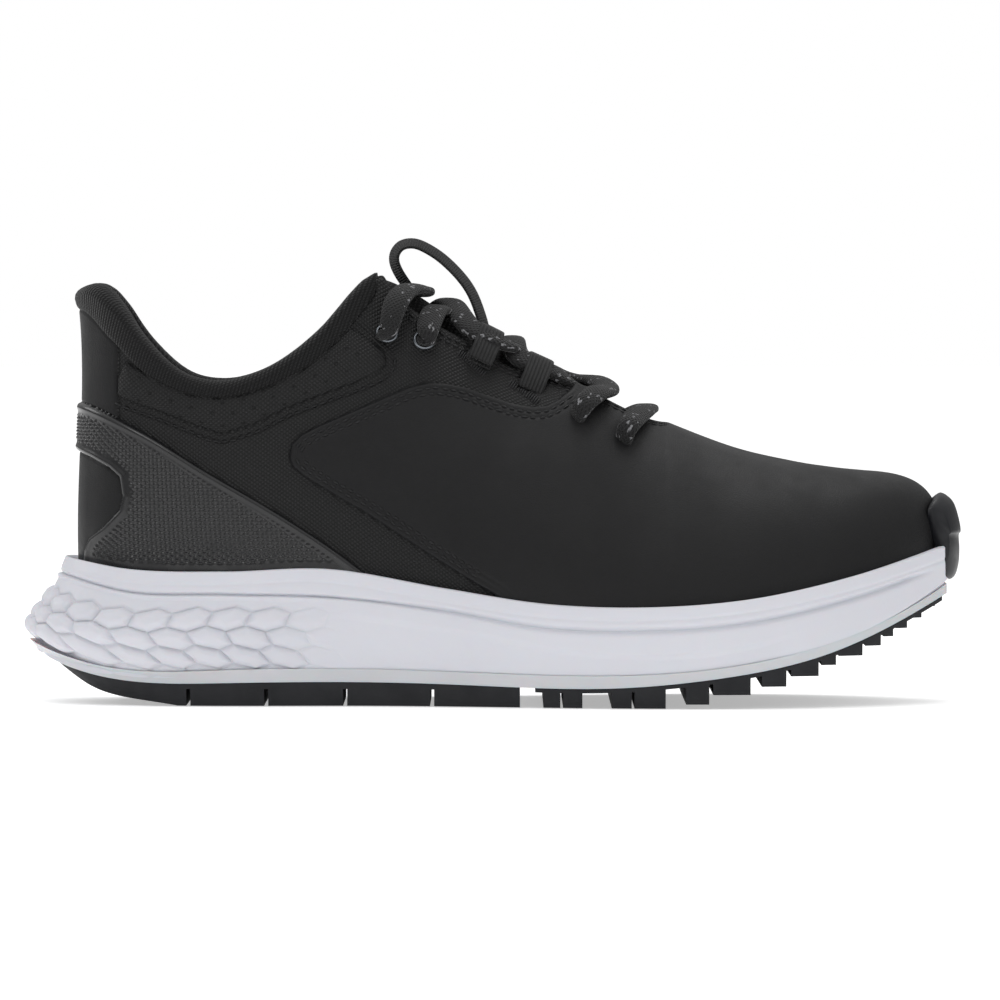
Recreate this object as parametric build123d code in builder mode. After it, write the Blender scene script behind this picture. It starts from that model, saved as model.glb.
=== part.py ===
from build123d import *
import os
from collections import namedtuple
from math import pi, radians, tan

# A right golf shoe: +X points to the toe, +Z up, the lateral side faces -Y, and the ground is z = 0.
# Lengths along the shoe are measured from the back of the heel, and fore() turns them into the row's X.
# All sizes are in millimetres.

LENGTH = 280.0
WIDE = 80.0               # side-view outlines are extruded this far each way, past the widest part
TALL = 160.0
GAP = 0.05                # between glued or sewn layers
DEEP = 8.0                # how far a punched hole reaches each way
ROOF = 0.5                # how far past the axis a filled form of the upper goes

# Depths of the upper's layers, measured inwards from the outer face of the base layer.
OVERLAY_OUT, OVERLAY_IN = -1.35, -GAP
WRAP_OUT = -1.7
BADGE_OUT = -0.9
PANEL_OUT = -0.8
BASE_OUT, BASE_IN = 0.0, 1.3
COUNTER_OUT, COUNTER_IN = BASE_IN + GAP, 3.1
FOAM_IN = 5.4
COLLAR_OUT, COLLAR_IN = FOAM_IN + GAP, 6.9
LINING_OUT, LINING_IN = BASE_IN + GAP, 2.6

# Side-view lines of the sole: distance from the heel, and height.
RIM_TOP = [(-6, 45.5), (15, 43), (30, 40.5), (60, 39.6), (90, 40.4), (125, 34.8), (155, 30.4),
           (184, 29.5), (215, 31.8), (247, 38.3), (286, 49.9)]
GROOVE = [(-6, 42), (12, 38.6), (30, 34.3), (60, 33.3), (90, 32.5), (125, 28.5), (155, 23.6),
          (184, 22.9), (215, 25.3), (247, 32.3), (286, 45)]
PLATE_TOP = [(-6, 23), (9.5, 15.5), (25, 11.4), (60, 10.7), (130, 10.3), (175, 9.6), (202, 11.3),
             (228, 15.9), (253, 24.1), (286, 43.5)]
PLATE_LOW = [(-6, 21.5), (10, 12.2), (25, 8.1), (60, 6.8), (130, 6.5), (175, 5.9), (205, 8.7),
             (236, 15.1), (263, 26.4), (286, 39)]
HEEL_GROUND = [(-6, 26), (10.3, 12.1), (19, 5.6), (32, 2.0), (46, 0)]
FOREFOOT_START = 152.0
HEEL_TREAD_END = 147.5

# Footprints of the sole: height, back of the heel, heel and waist half widths, ball, fore and toe tip.
Footprint = namedtuple("Footprint", "z heel heel_half waist_out waist_in ball fore toe")
FOOTPRINTS = [
    Footprint(0, 17.0, 28.0, 30.5, 25.0, 47.0, 37.5, 277.5),
    Footprint(10.5, 10.5, 32.5, 33.5, 28.5, 49.0, 39.5, 278.0),
    Footprint(22.5, 0.0, 37.5, 36.5, 32.0, 50.5, 41.0, 279.0),
    Footprint(34, 7.0, 35.0, 36.0, 32.0, 50.3, 41.0, 279.4),
    Footprint(52, 15.0, 32.0, 34.0, 31.5, 49.5, 40.0, 279.4),
]

FOOTBED_OUTLINE = Footprint(0, 23.4, 20.0, 25.6, 21.8, 42.5, 31.0, 267.5)

# Stations round the upper. Each is a vertical plane from the foot of the wall to the shoe's own axis:
# foot_x, the half widths and centre_x place it. The wall's curve starts at foot_z, and distances on the
# plane are measured inwards: low_in and low_z are its lower control point, high_back is how far its
# upper one, at high_z, lies before its end, and the end is gap short of the axis at top_z.
Station = namedtuple("Station", "foot_x lateral medial centre_x foot_z low_in low_z high_back high_z gap top_z")
STATIONS = [
    Station(16.5, 0.0, 0.0, 46.0, 30.0, -3.4, 66, -6.7, 98, 32.0, 131),
    Station(19.6, 13.0, 13.0, 47.0, 30.0, -3.2, 66, -4.5, 98, 30.8, 131),
    Station(31.0, 24.5, 24.5, 50.0, 29.0, -2.8, 64, -0.4, 96, 28.0, 131),
    Station(58.0, 30.0, 29.0, 60.0, 28.5, -2.5, 62, 5.6, 94, 22.1, 131),
    Station(88.0, 31.5, 28.5, 88.0, 28.0, -2.5, 60, 8.8, 94, 19.5, 131),
    Station(112.0, 34.0, 29.0, 111.0, 25.5, -2.6, 58, 15.5, 95, 14.5, 131),
    Station(142.0, 40.5, 34.0, 140.0, 21.0, -3.0, 57, 16.0, 91, 13.5, 104.5),
    Station(166.0, 46.0, 41.0, 165.0, 18.5, -3.0, 50, 21.5, 84, 11.5, 93.8),
    Station(191.0, 47.8, 46.8, 190.0, 18.5, -3.2, 52, 22.0, 82.9, 0.0, 82.9),
    Station(216.0, 45.3, 46.8, 211.0, 21.0, -3.2, 51, 23.0, 74.9, 0.0, 74.9),
    Station(240.0, 36.5, 39.5, 228.0, 26.0, -3.0, 55, 19.5, 70.8, 0.0, 70.8),
    Station(258.5, 23.5, 26.0, 238.0, 31.0, -2.6, 59, 19.0, 69.0, 0.0, 69.0),
    Station(268.6, 11.5, 12.5, 243.0, 34.5, -2.2, 61, 23.0, 68.2, 0.0, 68.2),
    Station(272.3, 0.0, 0.0, 246.0, 36.0, -2.0, 62, 24.0, 67.9, 0.0, 67.9),
]

# Side-view lines of the upper.
TOPLINE = [(8, 117), (15.5, 120.6), (20, 121.8), (27, 116.8), (36, 105.8), (47, 96.2), (58.5, 93.6),
           (70.5, 96.6), (88, 109), (100, 122.6), (105.5, 127), (112, 126.5), (126, 118)]
ROLL_LOW = [(8, 114), (16, 117.4), (26.5, 108), (36, 98.5), (47, 92.8), (58, 91), (70, 93.4),
            (85, 100.7), (97, 112), (104, 121), (112, 133)]
PANEL_LOW = [(28, 92), (40.6, 87.1), (59, 80.4), (78.5, 88.1), (99, 95.6), (106.8, 99.5)]
WRAP_TOP = [(8, 90.6), (15.7, 89.9), (34, 82), (54.5, 69.6), (77.6, 56.1), (92, 46.8), (104, 38)]
WINDOW = [(8, 76), (15, 75.6), (26.1, 70.2), (29.8, 62), (24.5, 53), (18.6, 46), (17.5, 36)]
OVERLAY_TOP = [(79.2, 73.5), (82.6, 80.3), (99, 87.7), (120.5, 95.6), (138, 91.6), (151, 88.1), (164.4, 94.5)]
OVERLAY_LOW = [(79.2, 73.5), (91.9, 62.8), (113.2, 49.8), (140.2, 33.3), (150, 26)]
TAB_FRONT = 28.0
WRAP_FRONT = 103.0
FOAM_FRONT = 100.0
LINING_BACK = 106.5
COUNTER_FRONT, COUNTER_TOP = 78.0, 84.0
BACKING_BACK, BACKING_FRONT = 166.0, 228.0   # where the quarters end and the toe puff starts

# Throat: half widths seen from above, from the collar down to its round end.
THROAT = [(98, 13), (106, 17), (112, 18.5), (140, 15.5), (166, 11.5), (182, 8.5)]
THROAT_END = 191.5

# Tongue sections: distance from the heel, half width, height of its edges and of its ridge.
Arch = namedtuple("Arch", "x half edge_z ridge_z")
TONGUE = [
    Arch(101.0, 11.5, 116.5, 127.0),
    Arch(107.0, 13.3, 111.0, 124.2),
    Arch(113.0, 14.0, 105.0, 121.0),
    Arch(140.0, 14.0, 91.0, 104.0),
    Arch(165.0, 13.0, 80.0, 89.8),
    Arch(187.0, 11.0, 72.0, 78.2),
]
TONGUE_COVER, TONGUE_FOAM, TONGUE_LINING = 0.9, 4.6, 0.8


# Lugs of the tread: back and front of each, and the height of its foot.
LUGS = [(154.4, 159.4, 0), (160.2, 165.9, 0), (174.5, 180.4, 0), (181.2, 190.4, 0), (196.4, 203.2, 1.2),
        (204.4, 215.4, 4.0), (218.7, 226.0, 6.4), (227.4, 235.6, 9.4), (236.4, 240.8, 12.6),
        (241.6, 248.8, 15.2), (249.6, 254.4, 18.0)]
TOE_LUGS = [(255.2, 258.2, 20.6), (259.0, 262.5, 22.9), (263.7, 267.0, 25.8), (268.0, 271.2, 29.0)]
HEEL_SLOTS = [49.2, 72.3, 95.7, 121.5]
SLOT_WIDTH, SLOT_TOP = 1.2, 5.0
WEB = 1.3                 # rubber that joins the lugs under the plate

# Where the lace goes through the upper, as side-view points: punched holes, webbing loops and eyelets.
HOLES = [(178.0, 79.5), (165.0, 86.0)]
EYELETS = [(119.3, 108.3), (108.1, 110.3)]
HOLE_R = 2.3
EYELET_LONG, EYELET_WIDE, EYELET_HIGH = 6.8, 6.1, 0.8
BARREL_R, EYELET_R = 2.7, 2.2
WEBBING_THICK, WEBBING_WIDE, WEBBING_LONG = 0.8, 7.8, 12.5
LACE_R = 1.8

# One half of the lace, from the middle of its lowest bar, out on its own side and back to the middle
# of the bar at the collar: distance from the heel, distance out on the half's own side, and height.
# A negative distance out is past the middle. The pairs of heights are those of the two halves.
LACE = [
    (185.5, 0, 87.6), (184.4, 10.5, 87.2), (181.6, 20.5, 85.2), (179.3, 26.6, 82.0), (176.2, 20.6, 75.4),
    (170.0, 20.0, 77.6), (163.9, 20.4, 81.8), (166.0, 27.2, 88.4), (170.0, 21.5, 92.4), (173.6, 10.5, 93.4),
    (170.5, 0, (95.9, 91.9)), (165.0, -8.0, (96.2, 93.6)), (158.6, -12.3, 98.0), (147.6, -13.1, 103.0),
    (145.4, 0, (104.0, 107.9)), (143.6, 13.2, 106.6), (133.0, 14.3, 111.9), (127.0, 0, (119.0, 115.1)),
    (122.8, -11.0, 117.2), (120.8, -19.6, 114.0), (119.9, -24.6, 109.6), (118.3, -17.4, 106.8),
    (107.8, -18.2, 109.1), (108.6, -26.2, 111.6), (110.8, -23.6, 119.4), (114.4, -14.0, 123.4),
    (118.6, 0, 122.6),
]
BEND = 0.45               # how much of the shorter run beside a corner its arc takes

# Pull loop: a ribbon that stands over the lace, between two feet on the tongue.
PULL_LOOP = [(115.5, 121.9), (111.0, 128.8), (109.9, 133.0), (111.6, 136.1), (114.8, 137.1), (118.5, 136.2),
             (124.0, 132.8), (129.5, 127.5), (133.2, 122.2), (135.8, 115.6), (137.6, 108.8)]
RIBBON_THICK, RIBBON_WIDE = 0.9, 5.0
FEET = [(115.6, 120.4), (137.6, 106.9)]
FOOT_HIGH = 2.2

COLUMN = 15.0             # half width of the middle column of lugs
COLUMN_GAP = 1.5


def fore(x):
    """A distance from the back of the heel, as the row's X."""
    return x - LENGTH / 2


def line_of(points, lift=0.0):
    """Side-view points from the heel, as the XZ plane's own points."""
    return [(fore(x), z + lift) for x, z in points]


def side_band(low, high, low_lift=0.0, high_lift=0.0, mode=Mode.INTERSECT):
    """Keep, or cut, what lies between two side-view lines."""
    with BuildSketch(Plane.XZ) as band:
        with BuildLine():
            bottom = Spline(*line_of(low, low_lift))
            top = Spline(*line_of(high, high_lift))
            Line(bottom @ 0, top @ 0)
            Line(bottom @ 1, top @ 1)
        make_face()
    extrude(band.sketch, amount=WIDE, both=True, mode=mode)


def side_area(points, corners, lift=0.0, mode=Mode.INTERSECT):
    """Keep, or cut, the side-view area between a line and the corners that close it."""
    with BuildSketch(Plane.XZ) as area:
        with BuildLine():
            edge = Spline(*line_of(points, lift))
            Polyline(edge @ 1, *line_of(corners), edge @ 0)
        make_face()
    extrude(area.sketch, amount=WIDE, both=True, mode=mode)


def side_box(x_back, x_front, z_low, z_high, mode=Mode.INTERSECT):
    """Keep, or cut, an upright box across the whole shoe."""
    with BuildSketch(Plane.XZ) as box:
        with Locations((fore((x_back + x_front) / 2), (z_low + z_high) / 2)):
            Rectangle(x_front - x_back, z_high - z_low)
    extrude(box.sketch, amount=WIDE, both=True, mode=mode)


def above_groove(lift=GAP):
    """Keep what stands on the midsole foam."""
    side_area(GROOVE, [(286, TALL), (-6, TALL)], lift)


def footprint_points(f):
    """Points round a footprint, from the back of the heel along the lateral side and back."""
    sides = []
    for side, waist, ball_x in ((-1, f.waist_out, 178), (1, f.waist_in, 196)):
        sides.append([
            (fore(f.heel + 8.5), side * 0.72 * f.heel_half),
            (fore(40), side * f.heel_half),
            (fore(100), side * waist),
            (fore(ball_x), side * f.ball),
            (fore(243), side * f.fore),
            (fore(f.toe - 10), side * 0.44 * f.fore),
        ])
    lateral, medial = sides
    return [(fore(f.heel), 0), *lateral, (fore(f.toe), 0), *medial[::-1]]


def sole_body():
    """The whole sole's outer form, before its layers are cut from it."""
    with BuildPart() as body:
        for f in FOOTPRINTS:
            with BuildSketch(Plane.XY.offset(f.z)):
                with BuildLine():
                    Spline(*footprint_points(f), periodic=True)
                make_face()
        loft()
    return body.part


def eased(a, b, c, d, t):
    """A value between b and c, on the smooth curve through all four."""
    return b + t * (c - a + t * (2 * a - 5 * b + 4 * c - d + t * (3 * (b - c) + d - a))) / 2


def opposite(station):
    """The same station on the shoe's other side."""
    return station._replace(lateral=-station.lateral, medial=-station.medial)


def finer_stations():
    """The stations, with one more between each two, so that the walls curve smoothly."""
    run = [opposite(STATIONS[1]), *STATIONS, opposite(STATIONS[-2])]
    finer = []
    for four in zip(run, run[1:], run[2:], run[3:]):
        middle = Station(*(eased(*values, 0.5) for values in zip(*four)))
        finer += [four[1], middle._replace(gap=max(middle.gap, 0.0))]
    return [*finer, STATIONS[-1]]


def station_frame(station, side):
    """The station's plane, and how far it is along it from the foot of the wall to the axis."""
    half = station.lateral if side < 0 else station.medial
    foot = Vector(fore(station.foot_x), side * half, 0)
    inwards = Vector(fore(station.centre_x), 0, 0) - foot
    return Plane(origin=foot, x_dir=inwards, z_dir=inwards.cross(Vector(0, 0, 1))), inwards.length


def wall_curve(station, reach, depth):
    """Control points of the wall's curve, sunk by a depth."""
    end = reach - station.gap
    points = [
        Vector(0, station.foot_z),
        Vector(station.low_in, station.low_z),
        Vector(end - station.high_back, station.high_z),
        Vector(end, station.top_z),
    ]
    legs = [(b - a).normalized() for a, b in zip(points, points[1:])]
    normals = [Vector(leg.Y, -leg.X) for leg in legs]
    inner = [(a + b) / (1 + a.dot(b)) for a, b in zip(normals, normals[1:])]
    return [p + n * depth for p, n in zip(points, [normals[0], *inner, normals[-1]])]


def wall_layer(side, outer, inner):
    """One side of a layer of the upper, between two depths."""
    with BuildPart() as layer:
        for station in finer_stations():
            plane, reach = station_frame(station, side)
            face_out = wall_curve(station, reach, outer)
            face_in = wall_curve(station, reach, inner)
            with BuildSketch(plane):
                with BuildLine():
                    Bezier(*face_out)
                    Line(face_out[3], face_in[3])
                    Bezier(*face_in[::-1])
                    Line(face_in[0], face_out[0])
                make_face()
        loft(ruled=True)
    return layer.part


def both_sides(outer, inner):
    """A layer of the upper that runs round the whole shoe."""
    add(wall_layer(-1, outer, inner))
    add(wall_layer(1, outer, inner))


def filled_half(side, depth):
    """Everything inside a depth of one side of the upper."""
    with BuildPart() as filled:
        for station in finer_stations():
            plane, reach = station_frame(station, side)
            face = wall_curve(station, reach, depth)
            with BuildSketch(plane):
                with BuildLine():
                    Bezier(*face)
                    Polyline(face[3], (reach + ROOF, face[3].Y), (reach + ROOF, 0), (face[0].X, 0), face[0])
                make_face()
        loft(ruled=True)
    return filled.part


def below(line, lift=0.0, mode=Mode.INTERSECT):
    """Keep, or cut, what lies under a side-view line."""
    far = LENGTH + 10
    side_area(line, [(far, line[-1][1]), (far, -TALL), (line[0][0], -TALL)], lift, mode)


def above(line, lift=0.0, mode=Mode.INTERSECT):
    """Keep, or cut, what lies over a side-view line."""
    side_area(line, [(line[-1][0], TALL), (line[0][0], TALL)], lift, mode)


def cut_throat(room=0.0):
    """Open the throat, where the tongue and the laces are."""
    with BuildSketch(Plane.XY.offset(60)) as throat:
        with BuildLine():
            lateral = Spline(*[(fore(x), -half - room) for x, half in THROAT], (fore(THROAT_END + room), 0),
                             tangents=[(1, -0.4), (0, 1)])
            mirror(lateral, about=Plane.XZ)
            Line((fore(THROAT[0][0]), -THROAT[0][1] - room), (fore(THROAT[0][0]), THROAT[0][1] + room))
        make_face()
    extrude(throat.sketch, amount=TALL, mode=Mode.SUBTRACT)


def cut_upper(depth):
    """Make room for everything inside a depth of the upper."""
    for side in (-1, 1):
        add(filled_half(side, depth), mode=Mode.SUBTRACT)


def wall_plane(wall, side, x, z):
    """The plane on a wall's outer face where a side-view point falls on it."""
    ray = Axis((fore(x), side * WIDE, z), (0, -side, 0))
    hits = [hit for face in wall.faces() for hit in face.find_intersection_points(ray)]
    point, normal = min(hits, key=lambda hit: abs(side * WIDE - hit[0].Y))
    return Plane(origin=point, x_dir=(1, 0, 0), z_dir=normal)


def punch(planes, radius):
    """Cut a round hole through the upper at each plane."""
    for plane in planes:
        with BuildSketch(plane) as hole:
            Circle(radius)
        extrude(hole.sketch, amount=DEEP, both=True, mode=Mode.SUBTRACT)


def save(builder, name):
    """Label a finished piece and write it."""
    builder.part.label = name
    export_step(builder.part, f"parts/{name}.step")
    print(name, round(builder.part.volume), len(builder.part.solids()), builder.part.is_valid)


os.makedirs("parts", exist_ok=True)
sole = sole_body()

# Sole: a rim that holds the upper, the foam under it, a clear plate, and rubber treads.

RIM_FRONT = 275.0

with BuildPart() as midsole_rim:
    add(sole)
    side_band(GROOVE, RIM_TOP)
    cut_upper(WRAP_OUT - GAP)
    side_box(-10, RIM_FRONT, 0, TALL)
save(midsole_rim, "midsole_rim")

with BuildPart() as midsole_foam:
    add(sole)
    side_band(PLATE_TOP, GROOVE, GAP, -GAP)
    side_box(-10, RIM_FRONT, 0, TALL)
save(midsole_foam, "midsole_foam")

with BuildPart() as outsole_plate:
    add(sole)
    side_band(PLATE_LOW, PLATE_TOP)
    side_box(-10, RIM_FRONT, 0, TALL)
save(outsole_plate, "outsole_plate")

with BuildPart() as heel_tread:
    add(sole)
    below(PLATE_LOW, -GAP)
    side_box(-10, HEEL_TREAD_END, 0, TALL)
    side_area(HEEL_GROUND, [(46, -5), (-6, -5)], mode=Mode.SUBTRACT)
    for x in HEEL_SLOTS:
        side_box(x - SLOT_WIDTH / 2, x + SLOT_WIDTH / 2, -1, SLOT_TOP, Mode.SUBTRACT)
save(heel_tread, "heel_tread")


def lug_blocks(lugs):
    """Upright blocks from each lug's foot, before they are cut to the sole's outline."""
    with BuildPart() as blocks:
        for back, front, foot in lugs:
            with BuildSketch(Plane.XZ):
                with Locations((fore((back + front) / 2), (foot + TALL / 2) / 2)):
                    Rectangle(front - back, TALL / 2 - foot)
            extrude(amount=WIDE, both=True)
    return blocks.part


def tread_pad(lugs, back, front, y_low, y_high):
    """A rubber pad under the plate: a thin web with lugs under it."""
    with BuildPart() as pad:
        add(lug_blocks(lugs))
        with BuildPart(mode=Mode.PRIVATE) as web:
            with BuildSketch(Plane.XZ) as strip:
                with BuildLine():
                    low = Spline(*line_of(PLATE_LOW, -WEB))
                    high = Spline(*line_of(PLATE_LOW))
                    Line(low @ 0, high @ 0)
                    Line(low @ 1, high @ 1)
                make_face()
            extrude(strip.sketch, amount=WIDE, both=True)
        add(web.part)
        below(PLATE_LOW, -GAP)
        add(sole, mode=Mode.INTERSECT)
        with BuildSketch(Plane.XY) as column:
            with Locations(((fore(back) + fore(front)) / 2, (y_low + y_high) / 2)):
                Rectangle(front - back, y_high - y_low)
        extrude(column.sketch, amount=TALL, mode=Mode.INTERSECT)
    return pad


FOREFOOT_FRONT = 254.8
BUMPER_HALF = 18.0
for name, y_low, y_high in (
    ("forefoot_tread_lateral", -WIDE, -COLUMN - COLUMN_GAP),
    ("forefoot_tread_centre", -COLUMN, COLUMN),
    ("forefoot_tread_medial", COLUMN + COLUMN_GAP, WIDE),
):
    save(tread_pad(LUGS, FOREFOOT_START, FOREFOOT_FRONT, y_low, y_high), name)
save(tread_pad(TOE_LUGS, FOREFOOT_FRONT + GAP, RIM_FRONT - 1.5, -WIDE, WIDE), "toe_tread")

with BuildPart() as toe_bumper:
    with BuildSketch(Plane.XY.offset(34)):
        with BuildLine():
            Spline(*footprint_points(FOOTPRINTS[-1]), periodic=True)
        make_face()
    extrude(amount=30)
    with BuildSketch(Plane.XZ) as bumper_side:
        with BuildLine():
            Polyline(*line_of([(275.05, 36.5), (278, 37.6), (280, 45), (280, 53), (277.6, 59.1), (272.8, 62.2),
                               (266, 62.6), (266, 47.2), (275.05, 47.2)]), close=True)
        make_face()
    extrude(bumper_side.sketch, amount=WIDE, both=True, mode=Mode.INTERSECT)
    with BuildSketch(Plane.XY) as middle:
        with Locations((fore(LENGTH - 4), 0)):
            Ellipse(9, BUMPER_HALF)
    extrude(middle.sketch, amount=TALL, mode=Mode.INTERSECT)
    cut_upper(OVERLAY_OUT - GAP)
save(toe_bumper, "toe_bumper")

# Inside the sole.

STROBEL, FOOTBED, COVER = 1.8, 4.2, 0.8


def footbed_layer(low, high):
    """A flat layer inside the upper, that much above the midsole foam."""
    with BuildPart() as layer:
        with BuildSketch(Plane.XY.offset(10)):
            with BuildLine():
                Spline(*footprint_points(FOOTBED_OUTLINE), periodic=True)
            make_face()
        extrude(amount=60)
        side_band(GROOVE, GROOVE, low, high)
    return layer


save(footbed_layer(GAP, STROBEL), "strobel_board")
save(footbed_layer(STROBEL + GAP, STROBEL + FOOTBED), "sockliner_foam")
save(footbed_layer(STROBEL + FOOTBED + GAP, STROBEL + FOOTBED + COVER), "sockliner_cover")

# Upper, from the outside in.

SIDES = (("lateral", -1), ("medial", 1))
base_wall = {side: wall_layer(side, BASE_OUT, BASE_IN) for _, side in SIDES}
hole_planes = {side: [wall_plane(base_wall[side], side, x, z) for x, z in HOLES] for _, side in SIDES}
eyelet_planes = {side: [wall_plane(base_wall[side], side, x, z) for x, z in EYELETS] for _, side in SIDES}


def punch_all(sides=(-1, 1)):
    """Cut the lace's holes and the eyelets' seats."""
    for side in sides:
        punch(hole_planes[side], HOLE_R)
        punch(eyelet_planes[side], BARREL_R + GAP)


with BuildPart() as vamp_shell:
    both_sides(OVERLAY_OUT, OVERLAY_IN)
    above_groove()
    with BuildSketch(Plane.XZ):
        with BuildLine():
            top = Spline(*line_of(OVERLAY_TOP))
            low = Spline(*line_of(OVERLAY_LOW))
            Polyline(top @ 1, *line_of([(166, TALL), (290, TALL), (290, 10), (150, 10)]), low @ 1)
        make_face()
    extrude(amount=WIDE, both=True, mode=Mode.INTERSECT)
    cut_throat()
    punch_all()
save(vamp_shell, "vamp_shell")

with BuildPart() as heel_wrap:
    both_sides(WRAP_OUT, OVERLAY_IN)
    above_groove()
    below(WRAP_TOP)
    side_area(WINDOW, [(0, 36), (0, 76)], mode=Mode.SUBTRACT)
    side_box(-10, WRAP_FRONT, 0, TALL)
save(heel_wrap, "heel_wrap")

with BuildPart() as heel_badge:
    both_sides(BADGE_OUT, OVERLAY_IN)
    above_groove()
    side_area(WINDOW, [(0, 36), (0, 76)])
    below([(x - GAP, z) for x, z in WRAP_TOP])
    side_box(-10, 29.5, 0, 75.0)
save(heel_badge, "heel_badge")


def collar_panel_area(mode=Mode.INTERSECT):
    """Keep, or cut, the padded panel's place under the collar."""
    side_area(PANEL_LOW, [(108.4, 103.2), (96, 113), (96, TALL), (28, TALL)], mode=mode)


def tab_area(mode=Mode.INTERSECT):
    """Keep, or cut, the heel tab's place."""
    side_area([(x, z - 4) for x, z in WRAP_TOP[:4]], [(34, 88), (TAB_FRONT, 90), (TAB_FRONT, TALL), (8, TALL)],
              mode=mode)


for name, side in SIDES:
    with BuildPart() as quarter:
        add(base_wall[side])
        above_groove()
        below(ROLL_LOW, -GAP)
        side_box(-10, BACKING_BACK, 0, TALL)
        collar_panel_area(Mode.SUBTRACT)
        tab_area(Mode.SUBTRACT)
        cut_throat()
        punch_all([side])
    save(quarter, f"quarter_{name}")
    with BuildPart() as collar_panel:
        add(wall_layer(side, PANEL_OUT, BASE_IN))
        below(ROLL_LOW, -GAP)
        collar_panel_area()
    save(collar_panel, f"collar_panel_{name}")

with BuildPart() as heel_tab:
    both_sides(BASE_OUT, BASE_IN)
    below(ROLL_LOW, -GAP)
    tab_area()
save(heel_tab, "heel_tab")

with BuildPart() as toe_puff:
    both_sides(BASE_OUT, BASE_IN)
    above_groove()
    side_box(BACKING_FRONT + GAP, LENGTH, 0, TALL)
save(toe_puff, "toe_puff")

with BuildPart() as heel_counter:
    both_sides(COUNTER_OUT, COUNTER_IN)
    above_groove()
    side_box(-10, COUNTER_FRONT, 0, COUNTER_TOP)
save(heel_counter, "heel_counter")

with BuildPart() as heel_padding:
    both_sides(COUNTER_IN + GAP, FOAM_IN)
    above_groove()
    side_box(-10, COUNTER_FRONT, 0, COUNTER_TOP)
save(heel_padding, "heel_padding")

with BuildPart() as collar_foam:
    both_sides(COUNTER_OUT, FOAM_IN)
    above_groove()
    below(ROLL_LOW, -GAP)
    side_box(-10, FOAM_FRONT, 0, TALL)
    side_box(-10, COUNTER_FRONT + GAP, 0, COUNTER_TOP + GAP, Mode.SUBTRACT)
    cut_throat()
save(collar_foam, "collar_foam")

with BuildPart() as collar_roll:
    both_sides(-0.3, COLLAR_IN)
    below(TOPLINE)
    above(ROLL_LOW)
    cut_throat()
save(collar_roll, "collar_roll")

with BuildPart() as collar_lining:
    both_sides(COLLAR_OUT, COLLAR_IN)
    above_groove()
    below(ROLL_LOW, -GAP)
    side_box(-10, FOAM_FRONT, 0, TALL)
    cut_throat()
save(collar_lining, "collar_lining")

with BuildPart() as vamp_lining:
    both_sides(LINING_OUT, LINING_IN)
    above_groove()
    side_box(LINING_BACK, LENGTH, 0, TALL)
    cut_throat()
    punch_all()
save(vamp_lining, "vamp_lining")


def tongue_layer(outer, inner):
    """An arched layer of the tongue, between two depths."""
    with BuildPart() as layer:
        for arch in TONGUE:
            with BuildSketch(Plane.YZ.offset(fore(arch.x))):
                with BuildLine():
                    ends = []
                    for depth in (outer, inner):
                        half = arch.half - depth
                        crown = (arch.ridge_z - depth - arch.edge_z / 4) / 0.75
                        Bezier((-half, arch.edge_z), (-0.85 * half, crown), (0.85 * half, crown), (half, arch.edge_z))
                        ends.append(half)
                    Line((-ends[0], arch.edge_z), (-ends[1], arch.edge_z))
                    Line((ends[0], arch.edge_z), (ends[1], arch.edge_z))
                make_face()
        loft()
    return layer


foam_in = TONGUE_COVER + TONGUE_FOAM
save(tongue_layer(0, TONGUE_COVER), "tongue_cover")
save(tongue_layer(TONGUE_COVER + GAP, foam_in), "tongue_foam")
save(tongue_layer(foam_in + GAP, foam_in + TONGUE_LINING), "tongue_lining")

with BuildPart() as pull_loop:
    with BuildSketch(Plane.XZ) as ribbon:
        with BuildLine() as centre:
            Spline(*line_of(PULL_LOOP))
        trace(centre.line, line_width=RIBBON_THICK)
    extrude(ribbon.sketch, amount=RIBBON_WIDE / 2, both=True)
save(pull_loop, "pull_loop")

with BuildPart() as loop_feet:
    for x, z in FEET:
        with BuildSketch(Plane.XY.offset(z - FOOT_HIGH)):
            with Locations((fore(x), 0)):
                Rectangle(RIBBON_THICK * 2, RIBBON_WIDE)
        extrude(amount=FOOT_HIGH)
save(loop_feet, "loop_feet")

# Lace and what holds it.

for name, side in SIDES:
    with BuildPart() as eyelets:
        for plane in eyelet_planes[side]:
            with BuildSketch(plane.offset(GAP)) as flange:
                Ellipse(EYELET_LONG / 2, EYELET_WIDE / 2)
                Circle(EYELET_R, mode=Mode.SUBTRACT)
            extrude(flange.sketch, amount=EYELET_HIGH)
            with BuildSketch(plane.offset(GAP)) as barrel:
                Circle(BARREL_R)
                Circle(EYELET_R, mode=Mode.SUBTRACT)
            extrude(barrel.sketch, amount=-(LINING_IN + EYELET_HIGH))
    save(eyelets, f"eyelets_{name}")


def lace_points(half, side):
    """The route of one half of the lace."""
    points = []
    for x, out, height in LACE:
        z = height[half] if isinstance(height, tuple) else height
        points.append(Vector(fore(x), side * out, z))
    return points


def bend_radii(points):
    """The largest arcs that the runs beside each corner leave room for."""
    radii = []
    for a, b, c in zip(points, points[1:], points[2:]):
        before, after = b - a, c - b
        half_turn = radians(before.get_angle(after)) / 2
        radii.append(BEND * min(before.length, after.length) / tan(half_turn))
    return radii


for half, (name, side) in enumerate(SIDES):
    points = lace_points(half, side)
    radii = bend_radii(points)
    with BuildPart() as lace:
        with BuildLine() as route:
            FilletPolyline(*points, radius=radii)
        with BuildSketch(Plane(origin=route.line @ 0, z_dir=route.line % 0)):
            Circle(LACE_R)
        sweep()
    save(lace, f"lace_{name}")
    length = sum(edge.length for edge in route.edges())
    print("  length", round(length), "volume ratio", round(lace.part.volume / (pi * LACE_R ** 2 * length), 4),
          "smallest bend", round(min(radii), 1))

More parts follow.
